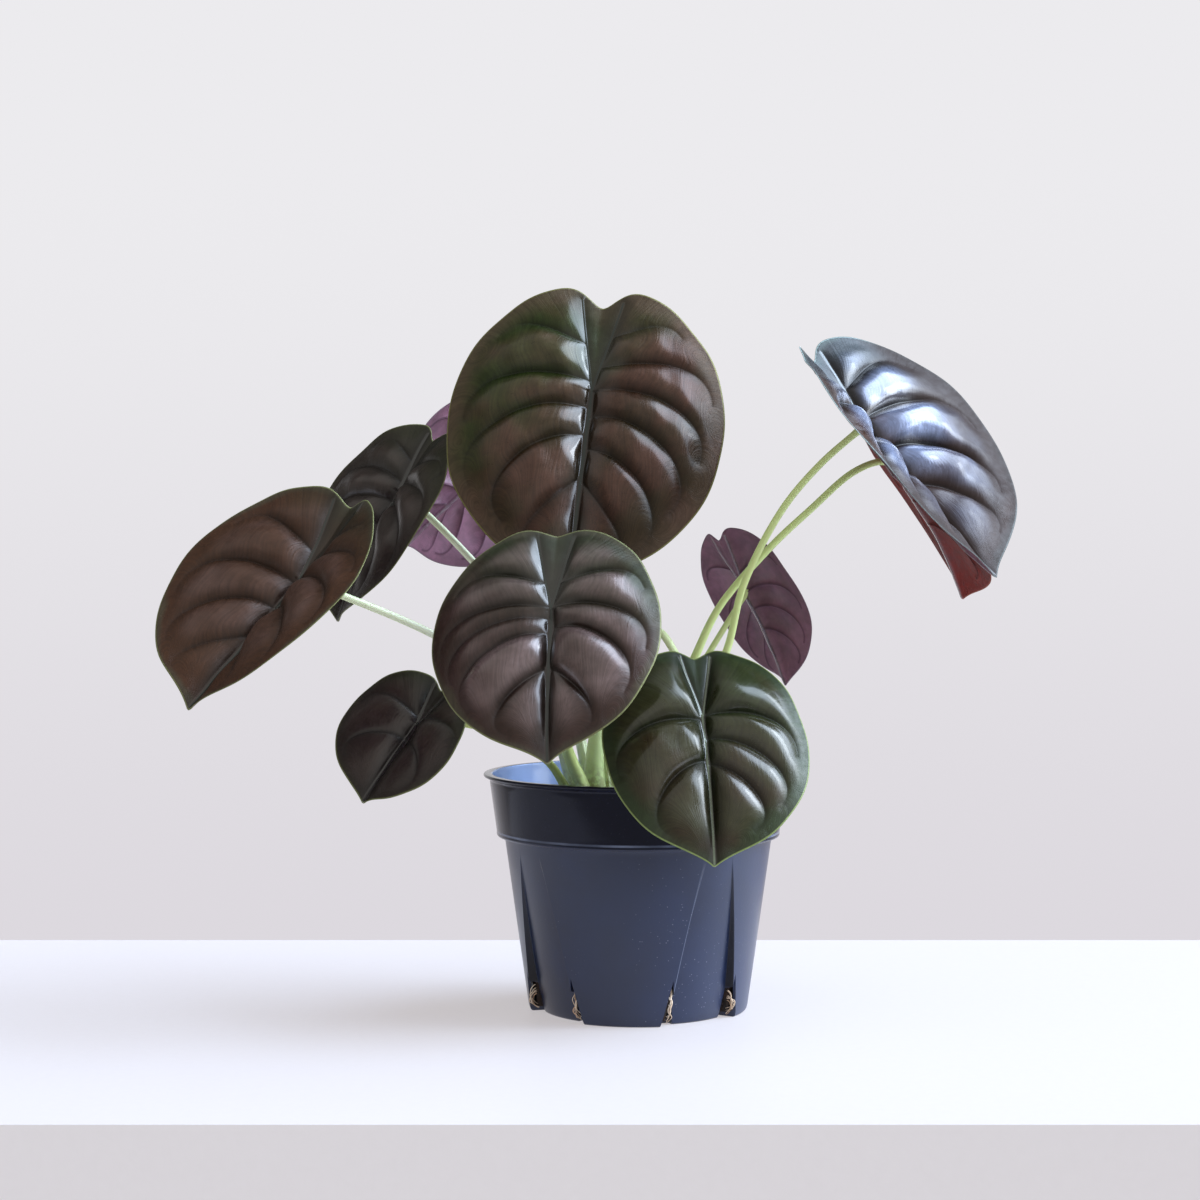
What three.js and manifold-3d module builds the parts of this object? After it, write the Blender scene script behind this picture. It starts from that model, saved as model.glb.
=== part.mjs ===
// Potted red secret alocasia: a young plant with ten puckered leaves in a thin nursery pot.
// Millimetres, +Z up. The origin is the centre of the pot's underside, and the plant faces -Y.
import * as THREE from 'three';
import { mergeVertices } from 'three/addons/utils/BufferGeometryUtils.js';
import Module from 'manifold-3d';

const wasm = await Module();
wasm.setup();

// Gap between pieces that touch
const seatGap = 0.3;

// Nursery pot: height, outer radii from foot to rim, and wall
const pot = {
  height: 91.5,
  rimRadius: 60,
  lipDrop: 1.2,
  lipRound: 0.4,
  collarTop: 57.7,
  collarFoot: 54.9,
  collarHeight: 22.5,
  collarRound: 0.6,
  stepDrop: 2,
  bodyTop: 51.8,
  footRadius: 42.3,
  footChamfer: 1.2,
  wall: 1.2,
  floor: 1.6,
};
const collarBase = pot.height - pot.collarHeight;
const bodyHeight = collarBase - pot.stepDrop;

// Four sunken panels in the pot's wall: deepest and widest at the foot, gone below the collar
const panel = {
  count: 4,
  centre: 35.5,
  footHalfAngle: 20,
  topHalfAngle: 6,
  topHeight: 62,
  depth: 4.4,
  stepAngle: 2.5,
};

// Slits at the foot of each panel's two side steps
const slit = { width: 6, height: 17.5, lean: 1.6, below: 1, reach: 9, beyond: 2 };

// Potting mix and the crown that the stems stand on
const mix = { top: 75, bottom: 2, crumb: 1.2, wallGap: 0.8, panelEase: 0.6 };
const crown = { x: -11, y: 0, top: 76.5, radius: 17, shoulder: 0.85, depth: 16, sides: 24 };

// Leaf blades: thickness, and the outline's shape as fractions of the blade's length
// (waist, tip, and how much of the length lies ahead of the hub, behind it and to each side)
const blade = {
  thickness: 0.9, waist: 0.482, tip: 0.06, tipAngle: 0.12, notchAngle: 0.22,
  ahead: 0.65, behind: 0.35, beside: 0.47,
};
const bladeGrid = { rays: 32, rings: 4 };

// Each leaf: where its stem meets the blade, the way it faces (turn about +Z from -Y, lean from
// the upright, spin in its own plane), its length, half widths, egg shape and notch, and how it
// bends: along the midrib to the tip and to the lobes, and across as a fold and a roll
const leaves = {
  top: {
    hub: [-18, -8, 239], turn: -1, lean: 30, spin: -6, length: 128, right: 0.87, left: 0.84,
    egg: 0.11, notch: 0.07, droop: 22, lobeDrop: 0, foldRight: 12, foldLeft: 10, roll: 37,
  },
  center: {
    hub: [-32.5, -66, 156.5], turn: -15, lean: 34, spin: 5, length: 93, right: 1.0, left: 0.89,
    egg: 0.09, notch: 0.05, droop: 22, lobeDrop: 3, foldRight: 13, foldLeft: 9, roll: 35,
  },
  front: {
    hub: [22.5, -62, 117], turn: 8, lean: 34, spin: 1, length: 84, right: 0.9, left: 0.96,
    egg: 0.12, notch: 0.06, droop: 26, lobeDrop: 7, foldRight: 10, foldLeft: 10, roll: 35,
  },
  left: {
    hub: [-127.5, -34, 167], turn: -36, lean: 44, spin: -14, length: 103, right: 0.99, left: 0.83,
    egg: 0.09, notch: 0.06, droop: 3, lobeDrop: -15, foldRight: 25, foldLeft: 22, roll: 21,
  },
  left_rear: {
    hub: [-94, 14, 201], turn: -48, lean: 32, spin: -15, length: 85, right: 0.9, left: 0.87,
    egg: 0.13, notch: 0.07, droop: 19, lobeDrop: 5, foldRight: 19, foldLeft: 19, roll: 25,
  },
  rear: {
    hub: [-57.5, 54, 213.5], turn: -149, lean: 18, spin: 51, length: 80, right: 0.96, left: 0.89,
    egg: 0.12, notch: 0.09, droop: 18, lobeDrop: 1, foldRight: 13, foldLeft: 14, roll: 34,
  },
  small: {
    hub: [-84.5, -26, 111.5], turn: -17, lean: 33, spin: -27, length: 55, right: 1.05, left: 0.81,
    egg: 0.1, notch: 0.08, droop: 11, lobeDrop: -2, foldRight: 19, foldLeft: 17, roll: 30,
  },
  right: {
    hub: [86.5, -10, 225.5], turn: 56, lean: 38, spin: 5, length: 118, right: 0.89, left: 0.98,
    egg: 0.12, notch: 0.09, droop: -9, lobeDrop: 5, foldRight: 15, foldLeft: 18, roll: -4,
  },
  right_under: {
    hub: [107, 33, 206.5], turn: 98, lean: 43, spin: 20, length: 88, right: 0.93, left: 0.83,
    egg: 0.16, notch: 0.11, droop: 18, lobeDrop: 14, foldRight: 12, foldLeft: 18, roll: 26,
  },
  right_rear: {
    hub: [44.5, 34, 161.5], turn: 128, lean: 29, spin: -12, length: 68, right: 0.88, left: 0.87,
    egg: 0.07, notch: 0.07, droop: 20, lobeDrop: 0, foldRight: 16, foldLeft: 17, roll: 31,
  },
};

// Each stem (petiole): foot radius, top radius, and the points it passes between crown and blade
const stems = {
  top: { foot: 5, top: 2.3, path: [[-16, -1], [-17, -0.5, 90], [-15.8, 0, 112], [-14, 6, 160],
    [-15, 7, 205]] },
  center: { foot: 3.2, top: 2.0, path: [[-19, -9.5], [-22, -12, 88], [-27, -17, 101],
    [-33, -34, 130], [-33, -54, 150]] },
  front: { foot: 3.2, top: 1.8, path: [[-9, -8.5], [-4, -13, 105], [2, -20, 132], [7, -30, 147],
    [14, -42, 138]] },
  left: { foot: 2.8, top: 1.8, path: [[-23.5, 4.2], [-32, 0, 106], [-52, -9, 129], [-78.5, -20, 146],
    [-111, -28, 160.5]] },
  left_rear: { foot: 3, top: 1.8, path: [[-16.5, 8.5], [-27, 11, 118], [-43, 12, 148],
    [-63, 12, 171.5], [-81.5, 13, 190.5]] },
  rear: { foot: 3, top: 1.7, path: [[-9.5, 11.5], [-17, 24, 125], [-31, 36, 170],
    [-46, 44, 200]] },
  small: { foot: 2.6, top: 1.5, path: [[-24.5, -3.5], [-29, -8, 88], [-35, -12, 97],
    [-52, -18, 107.5], [-68, -22, 112]] },
  right: { foot: 3.4, top: 1.7, path: [[0, -6.5], [21, -6, 112], [34, -5.5, 139],
    [40.5, -7, 164.5], [55, -8, 193], [69.5, -9, 210.5]] },
  right_under: { foot: 3.8, top: 1.7, path: [[1, 2], [13, 2, 114], [22.4, 0.5, 137],
    [31.5, 2, 155.5], [51, 2, 178.5], [67, 3, 193.5], [84, 9, 208], [98, 21, 212.5]] },
  right_rear: { foot: 2.8, top: 1.5, path: [[-2.5, 9], [8, 14, 105], [23, 21, 128],
    [35, 27, 147]] },
};
const stemGrid = { sides: 8, steps: 13, sheathShare: 0.18, taper: 1.25 };

// Roots that show in the slits: thickness, sides, and how far each bows out of its slit
const root = {
  radius: 0.75, sides: 6, steps: 9, points: 4, foot: 1.6, top: 9.5, bow: 1.4, sway: 0.6, tuck: 0.9,
};

// A finish for each kind of material
function finish(color, roughness) {
  return new THREE.MeshStandardMaterial({ color, roughness, metalness: 0 });
}
const plastic = finish(0x23273a, 0.4);
const bark = finish(0x3a2a1e, 0.95);
const stemGreen = finish(0x9dbb62, 0.45);
const crownGreen = finish(0x8a9a5b, 0.6);
const rootTan = finish(0xb08e68, 0.8);
const bladeTones = {
  top: 0x4a4028, center: 0x4c3a35, front: 0x3e4a30, left: 0x4f3d2a, left_rear: 0x35382a,
  rear: 0x5a4050, small: 0x2f2822, right: 0x6a7688, right_under: 0x7a3a34, right_rear: 0x5c4654,
};

const { degToRad: radians, lerp } = THREE.MathUtils;
const plant = new THREE.Group();

// A geometry with its shared corners merged
function joined(geometry) {
  const bare = geometry.index ? geometry.toNonIndexed() : geometry.clone();
  bare.deleteAttribute('normal');
  bare.deleteAttribute('uv');
  return mergeVertices(bare, 1e-4);
}

// A closed solid from a geometry
function solid(geometry) {
  const shell = joined(geometry);
  return new wasm.Manifold(new wasm.Mesh({
    numProp: 3,
    vertProperties: new Float32Array(shell.attributes.position.array),
    triVerts: new Uint32Array(shell.index.array),
  }));
}

// A solid back to a geometry that a mesh can hold
function geometryOf(body) {
  const { vertProperties, triVerts, numProp } = body.getMesh();
  const positions = new Float32Array((vertProperties.length / numProp) * 3);
  for (let i = 0; i < positions.length / 3; i += 1) {
    positions.set(vertProperties.subarray(i * numProp, i * numProp + 3), i * 3);
  }
  const geometry = new THREE.BufferGeometry();
  geometry.setAttribute('position', new THREE.BufferAttribute(positions, 3));
  geometry.setIndex(new THREE.BufferAttribute(new Uint32Array(triVerts), 1));
  geometry.computeVertexNormals();
  return geometry;
}

function add(name, geometry, material) {
  const mesh = new THREE.Mesh(geometry, material);
  mesh.name = name;
  plant.add(mesh);
}

// Move every point of a geometry by a function of the point
function reshape(geometry, move) {
  const points = geometry.attributes.position;
  const point = new THREE.Vector3();
  for (let i = 0; i < points.count; i += 1) {
    point.fromBufferAttribute(points, i);
    move(point);
    points.setXYZ(i, point.x, point.y, point.z);
  }
  return geometry;
}

// A turned solid about +Z from [radius, height] pairs
function turned(profile, segments) {
  const points = profile.map(([radius, height]) => new THREE.Vector2(radius, height));
  return new THREE.LatheGeometry(points, segments).rotateX(Math.PI / 2);
}

// Columns round the pot for each panel: plain wall, step, sunken face, step, plain wall
const columns = { wall: 4, face: 6 };
const perPanel = 2 * columns.wall + columns.face + 2;
const potColumns = panel.count * perPanel;

// Half the angle of a sunken panel at a height
function panelHalfAngle(height) {
  const share = Math.min(height / panel.topHeight, 1);
  return lerp(panel.footHalfAngle, panel.topHalfAngle, share);
}

// Where a column stands at a height: its angle from the panel's centre and whether it is sunken
function columnPlace(column, height, ease) {
  const half = panelHalfAngle(height) + ease;
  const reach = 180 / panel.count;
  const outer = half + panel.stepAngle;
  const first = columns.wall;
  const last = columns.wall + 2 + columns.face;
  if (column <= first) {
    return { angle: lerp(-reach, -outer, column / first), sunken: false };
  }
  if (column >= last) {
    return { angle: lerp(outer, reach, (column - last) / columns.wall), sunken: false };
  }
  return { angle: lerp(-half, half, (column - first - 1) / columns.face), sunken: true };
}

// Press the four panels, wider by an angle of ease, into a solid turned with a segment per column
function pressPanels(geometry, ease) {
  return reshape(geometry, (point) => {
    const radius = Math.hypot(point.x, point.y);
    const spot = Math.atan2(point.x, -point.y) / (2 * Math.PI) * potColumns;
    const column = (Math.round(spot) + potColumns) % potColumns;
    const side = Math.floor(column / perPanel);
    const { angle, sunken } = columnPlace(column - side * perPanel, point.z, ease);
    const fade = Math.max(1 - point.z / panel.topHeight, 0) * Math.min(radius / pot.footRadius, 1);
    const pressed = radius - (sunken ? panel.depth * fade : 0);
    const turn = radians(panel.centre + (360 / panel.count) * side + angle);
    point.set(pressed * Math.sin(turn), -pressed * Math.cos(turn), point.z);
  });
}

// Outer radius of the pot's tapering body at a height
function bodyRadius(height) {
  return lerp(pot.footRadius, pot.bodyTop, height / bodyHeight);
}

// One wedge for each slit, standing on the pot's foot at a panel's side step
function slitWedges() {
  const wedges = [];
  for (let side = 0; side < panel.count; side += 1) {
    for (const hand of [-1, 1]) {
      const shape = new THREE.Shape();
      shape.moveTo(-slit.width / 2, -slit.below);
      shape.lineTo(slit.width / 2, -slit.below);
      shape.lineTo(-hand * slit.lean, slit.height);
      shape.closePath();
      const wedge = new THREE.ExtrudeGeometry(shape, { depth: slit.reach, bevelEnabled: false });
      const turn = panel.centre + (360 / panel.count) * side;
      const angle = turn + hand * (panel.footHalfAngle + panel.stepAngle / 2);
      wedge.rotateX(Math.PI / 2);
      wedge.translate(0, slit.reach - slit.beyond - pot.footRadius, 0);
      wedge.rotateZ(radians(angle));
      wedges.push({ wedge, angle, hand });
    }
  }
  return wedges;
}

function nurseryPot() {
  const lipFoot = pot.height - pot.lipDrop;
  const profile = [
    [0, 0],
    [pot.footRadius - pot.footChamfer, 0],
    [pot.footRadius, pot.footChamfer],
    [bodyRadius(slit.height), slit.height],
    [bodyRadius(bodyHeight / 2), bodyHeight / 2],
    [bodyRadius(panel.topHeight), panel.topHeight],
    [pot.bodyTop, bodyHeight],
    [pot.collarFoot - pot.collarRound, collarBase - pot.collarRound],
    [pot.collarFoot, collarBase + pot.collarRound],
    [pot.collarTop, lipFoot - pot.wall],
    [pot.rimRadius - pot.lipRound, lipFoot],
    [pot.rimRadius, pot.height - pot.lipDrop / 2],
    [pot.rimRadius - pot.lipRound, pot.height],
    [pot.collarTop - pot.wall, pot.height],
    [pot.collarFoot - pot.wall, collarBase + pot.wall],
    [pot.bodyTop - pot.wall, bodyHeight],
    [bodyRadius(panel.topHeight) - pot.wall, panel.topHeight],
    [bodyRadius(bodyHeight / 2) - pot.wall, bodyHeight / 2],
    [bodyRadius(slit.height) - pot.wall, slit.height],
    [pot.footRadius - pot.wall, pot.floor],
    [0, pot.floor],
  ];
  let body = solid(pressPanels(turned(profile, potColumns), 0));
  for (const { wedge } of slitWedges()) {
    body = body.subtract(solid(wedge));
  }
  return geometryOf(body);
}

// The crown's turned outline, or a socket for it, wider by a gap and open at the top
function crownProfile(gap, top) {
  const low = crown.top - crown.depth - gap;
  return [
    [0, low],
    [crown.radius / 2 + gap, low],
    [crown.radius * crown.shoulder + gap, crown.top - crown.depth / 2],
    [crown.radius + gap, crown.top - crown.depth / 4],
    [crown.radius + gap, top],
    [0, top],
  ];
}

function pottingMix() {
  const inside = pot.wall + mix.wallGap;
  const shoulder = bodyRadius(panel.topHeight) - inside;
  const profile = [
    [0, mix.bottom],
    [pot.footRadius - inside, mix.bottom],
    [bodyRadius(slit.height) - inside, slit.height],
    [bodyRadius(bodyHeight / 2) - inside, bodyHeight / 2],
    [shoulder, panel.topHeight],
    [shoulder, mix.top - mix.crumb],
    [shoulder - 3 * mix.crumb, mix.top],
    [0, mix.top],
  ];
  const body = solid(pressPanels(turned(profile, potColumns), mix.panelEase));
  const socket = turned(crownProfile(seatGap, pot.height), crown.sides);
  return geometryOf(body.subtract(solid(socket.translate(crown.x, crown.y, 0))));
}

function crownStub() {
  const stub = turned(crownProfile(0, crown.top), crown.sides);
  return geometryOf(solid(stub.translate(crown.x, crown.y, 0)));
}

// The way a blade faces: across, towards the tip, and up out of its face
function bladeFrame(leaf) {
  const turn = radians(leaf.turn);
  const lean = radians(leaf.lean);
  const spin = radians(leaf.spin);
  const face = new THREE.Vector3(
    Math.sin(turn) * Math.cos(lean), -Math.cos(turn) * Math.cos(lean), Math.sin(lean));
  const down = new THREE.Vector3(
    Math.sin(turn) * Math.sin(lean), -Math.cos(turn) * Math.sin(lean), -Math.cos(lean));
  const side = new THREE.Vector3().crossVectors(face, down);
  const tip = down.multiplyScalar(Math.cos(spin)).addScaledVector(side, Math.sin(spin));
  const across = new THREE.Vector3().crossVectors(tip, face);
  return { across, tip, face };
}

// Distance from hub to edge in a direction, in the flat blade
function outline(angle, leaf) {
  const away = Math.abs(angle);
  const tip = blade.tip * Math.exp(-away / blade.tipAngle);
  const notch = leaf.notch * Math.exp(-(((Math.PI - away) / blade.notchAngle) ** 2));
  return leaf.length * (blade.waist + leaf.egg * Math.cos(away) + tip - notch);
}

// A point of the flat blade, x across and y to the tip, bent and set in its place on the plant
function onBlade(x, y, lift, leaf, frame) {
  const straight = 1e-6;
  const along = y >= 0 ? radians(leaf.droop) / (blade.ahead * leaf.length)
    : radians(leaf.lobeDrop) / (blade.behind * leaf.length);
  const bend = Math.abs(along) < straight ? straight : along;
  const pitch = bend * y;
  const fold = radians(x >= 0 ? leaf.foldRight : leaf.foldLeft);
  const roll = radians(leaf.roll) / (blade.beside * leaf.length);
  const slope = fold - roll * Math.abs(x);
  const out = Math.sign(x) * ((Math.sin(fold) - Math.sin(slope)) / roll - lift * Math.sin(slope));
  const rise = (Math.cos(slope) - Math.cos(fold)) / roll + lift * Math.cos(slope);
  const ahead = Math.sin(pitch) / bend + rise * Math.sin(pitch);
  const up = -(1 - Math.cos(pitch)) / bend + rise * Math.cos(pitch);
  return new THREE.Vector3(...leaf.hub)
    .addScaledVector(frame.across, out)
    .addScaledVector(frame.tip, ahead)
    .addScaledVector(frame.face, up);
}

// A blade: a thin turned disc between two heights, stretched to the leaf's outline and bent
function leafBlade(leaf, bottom, top) {
  const profile = [[0, bottom]];
  for (let ring = 1; ring <= bladeGrid.rings; ring += 1) {
    profile.push([ring / bladeGrid.rings, bottom]);
  }
  for (let ring = bladeGrid.rings; ring > 0; ring -= 1) {
    profile.push([ring / bladeGrid.rings, top]);
  }
  profile.push([0, top]);
  const frame = bladeFrame(leaf);
  const disc = joined(turned(profile, bladeGrid.rays));
  reshape(disc, (point) => {
    const angle = Math.atan2(point.x, point.y);
    const reach = Math.hypot(point.x, point.y) * outline(angle, leaf);
    const side = angle >= 0 ? leaf.right : leaf.left;
    const x = reach * Math.sin(angle) * side;
    const y = reach * Math.cos(angle);
    point.copy(onBlade(x, y, point.z, leaf, frame));
  });
  return solid(disc);
}

// A stem: a straight turned rod, wide at the foot as a sheath, bent along its path, and ending
// in a slanted face that follows the underside of the blade
function leafStem(stem, leaf) {
  const hub = new THREE.Vector3(...leaf.hub);
  const points = stem.path.map(([x, y, z]) => new THREE.Vector3(x, y, z ?? crown.top + seatGap));
  const curve = new THREE.CatmullRomCurve3([...points, hub], false, 'centripetal');
  const { sides, steps } = stemGrid;
  const radiusAt = (share) => {
    const sheath = Math.max(1 - share / stemGrid.sheathShare, 0);
    const plain = lerp(stem.top * stemGrid.taper, stem.top, share);
    return plain + (stem.foot - stem.top * stemGrid.taper) * sheath;
  };
  const profile = [[0, 0]];
  for (let step = 0; step <= steps; step += 1) {
    profile.push([radiusAt(step / steps), step]);
  }
  profile.push([0, steps]);
  const rod = turned(profile, sides);
  const frames = curve.computeFrenetFrames(steps, false);
  reshape(rod, (point) => {
    const step = Math.round(point.z);
    const centre = curve.getPointAt(step / steps);
    const foot = step === 0;
    const normal = foot ? new THREE.Vector3(1, 0, 0) : frames.normals[step];
    const binormal = foot ? new THREE.Vector3(0, 1, 0) : frames.binormals[step];
    const { x, y } = point;
    point.copy(centre).addScaledVector(normal, x).addScaledVector(binormal, y);
  });
  const underside = -blade.thickness / 2 - seatGap;
  return geometryOf(solid(rod).subtract(leafBlade(leaf, underside, 3 * stem.top)));
}

// A root that comes down the slit and bows out of it
function slitRoot(angle, hand) {
  const points = [];
  for (let step = 0; step <= root.points; step += 1) {
    const share = step / root.points;
    const height = lerp(root.top, root.foot, share);
    const out = bodyRadius(height) - root.tuck + root.bow * Math.sin(Math.PI * share);
    const middle = -hand * slit.lean * height / slit.height;
    const sway = root.sway * Math.sin(2 * Math.PI * share) * share;
    points.push(new THREE.Vector3(middle + sway, -out, height));
  }
  const curve = new THREE.CatmullRomCurve3(points);
  const ring = new THREE.Shape().absarc(0, 0, root.radius, 0, 2 * Math.PI);
  const tube = new THREE.ExtrudeGeometry(ring, {
    steps: root.steps, curveSegments: root.sides, extrudePath: curve, bevelEnabled: false,
  });
  return tube.rotateZ(radians(angle));
}

add('nursery_pot', nurseryPot(), plastic);
add('potting_mix', pottingMix(), bark);
add('crown', crownStub(), crownGreen);
for (const [name, leaf] of Object.entries(leaves)) {
  const body = leafBlade(leaf, -blade.thickness / 2, blade.thickness / 2);
  add(`leaf_${name}`, geometryOf(body), finish(bladeTones[name], 0.35));
  add(`petiole_${name}`, leafStem(stems[name], leaf), stemGreen);
}
let rootNumber = 0;
for (const { angle, hand } of slitWedges()) {
  rootNumber += 1;
  add(`root_${rootNumber}`, slitRoot(angle, hand), rootTan);
}

export default plant;
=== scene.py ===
# Looks for the potted red secret alocasia: puckered leaves, sheathed stems and a thin nursery pot.
# Sizes in the dictionaries are millimetres and degrees; +Z is up and the plant faces -Y.
import math
import random

import bmesh
import bpy
import numpy as np
from mathutils import Matrix, Vector
from mathutils.bvhtree import BVHTree
from mathutils.geometry import delaunay_2d_cdt
from mathutils.kdtree import KDTree


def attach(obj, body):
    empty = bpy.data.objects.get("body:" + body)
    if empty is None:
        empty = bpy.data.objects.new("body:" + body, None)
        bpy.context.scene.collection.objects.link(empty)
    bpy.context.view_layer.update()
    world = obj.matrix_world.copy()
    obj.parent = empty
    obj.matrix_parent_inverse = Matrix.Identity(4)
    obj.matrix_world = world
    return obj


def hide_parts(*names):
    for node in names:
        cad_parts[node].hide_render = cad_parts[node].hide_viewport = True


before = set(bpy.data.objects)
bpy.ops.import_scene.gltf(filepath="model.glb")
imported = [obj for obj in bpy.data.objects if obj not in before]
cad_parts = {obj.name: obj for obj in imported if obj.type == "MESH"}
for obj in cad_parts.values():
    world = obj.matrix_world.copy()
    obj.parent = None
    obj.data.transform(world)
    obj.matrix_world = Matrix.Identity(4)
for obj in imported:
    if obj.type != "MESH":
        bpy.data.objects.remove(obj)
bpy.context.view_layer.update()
mm = 0.001
fullTurn = 2 * math.pi


# Mesh helpers

def putInScene(thing):
    bpy.context.scene.collection.objects.link(thing)
    return thing


def buildMesh(name, points, faces, attributes=None):
    mesh = bpy.data.meshes.new(name)
    mesh.from_pydata((np.asarray(points, float) * mm).tolist(), [], faces)
    for label, values in (attributes or {}).items():
        values = np.asarray(values, np.float32)
        isVector = values.ndim == 2
        layer = mesh.attributes.new(label, "FLOAT_VECTOR" if isVector else "FLOAT", "POINT")
        layer.data.foreach_set("vector" if isVector else "value", values.ravel())
    mesh.update()
    return putInScene(bpy.data.objects.new(name, mesh))


def dress(piece, material, node):
    mesh = piece.data
    mesh.polygons.foreach_set("use_smooth", np.ones(len(mesh.polygons), bool))
    mesh.materials.append(material)
    mesh.update()
    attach(piece, "root")
    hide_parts(node)


def ringFaces(rings, sides, first=0, capped=True, inward=False):
    faces = []
    for i in range(rings - 1):
        for j in range(sides):
            k = (j + 1) % sides
            a, b = first + i * sides, first + (i + 1) * sides
            faces.append((a + j, b + j, b + k, a + k) if inward else (a + j, a + k, b + k, b + j))
    if capped:
        start = list(range(first, first + sides))
        end = list(range(first + (rings - 1) * sides, first + rings * sides))
        faces += [tuple(start if inward else start[::-1]), tuple(end[::-1] if inward else end)]
    return faces


def smoothStep(low, high, value):
    share = np.clip((value - low) / (high - low), 0, 1)
    return share * share * (3 - 2 * share)


def resample(curve, step):
    lengths = np.r_[0, np.cumsum(np.linalg.norm(np.diff(curve, axis=0), axis=1))]
    count = max(int(round(lengths[-1] / step)), 1) + 1
    marks = np.linspace(0, lengths[-1], count)
    return np.stack([np.interp(marks, lengths, curve[:, k]) for k in range(curve.shape[1])], axis=1)


def bezier(start, pull, push, end, count=40):
    t = np.linspace(0, 1, count)[:, None]
    return (1 - t) ** 3 * start + 3 * t * (1 - t) ** 2 * pull + 3 * t * t * (1 - t) * push + t ** 3 * end


def makeTree(points):
    tree = KDTree(len(points))
    for index, point in enumerate(points):
        tree.insert((point[0], point[1], 0), index)
    tree.balance()
    return tree


def gapTo(tree, x, y):
    return np.array([tree.find((a, b, 0))[2] for a, b in zip(x, y)])


# Leaf blades: each hub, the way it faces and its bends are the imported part's own

bladeShape = {
    "waist": 0.482, "tip": 0.06, "tipAngle": 0.12, "notchAngle": 0.22,
    "ahead": 0.65, "behind": 0.35, "beside": 0.47,
    "thickness": 0.5, "edge": 0.3, "costaAngle": 13, "straight": 1e-6,
    "waves": ((0.0025, 7, 1), (0.0015, 13, 2)), "waveFrom": 0.3,
}

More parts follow.
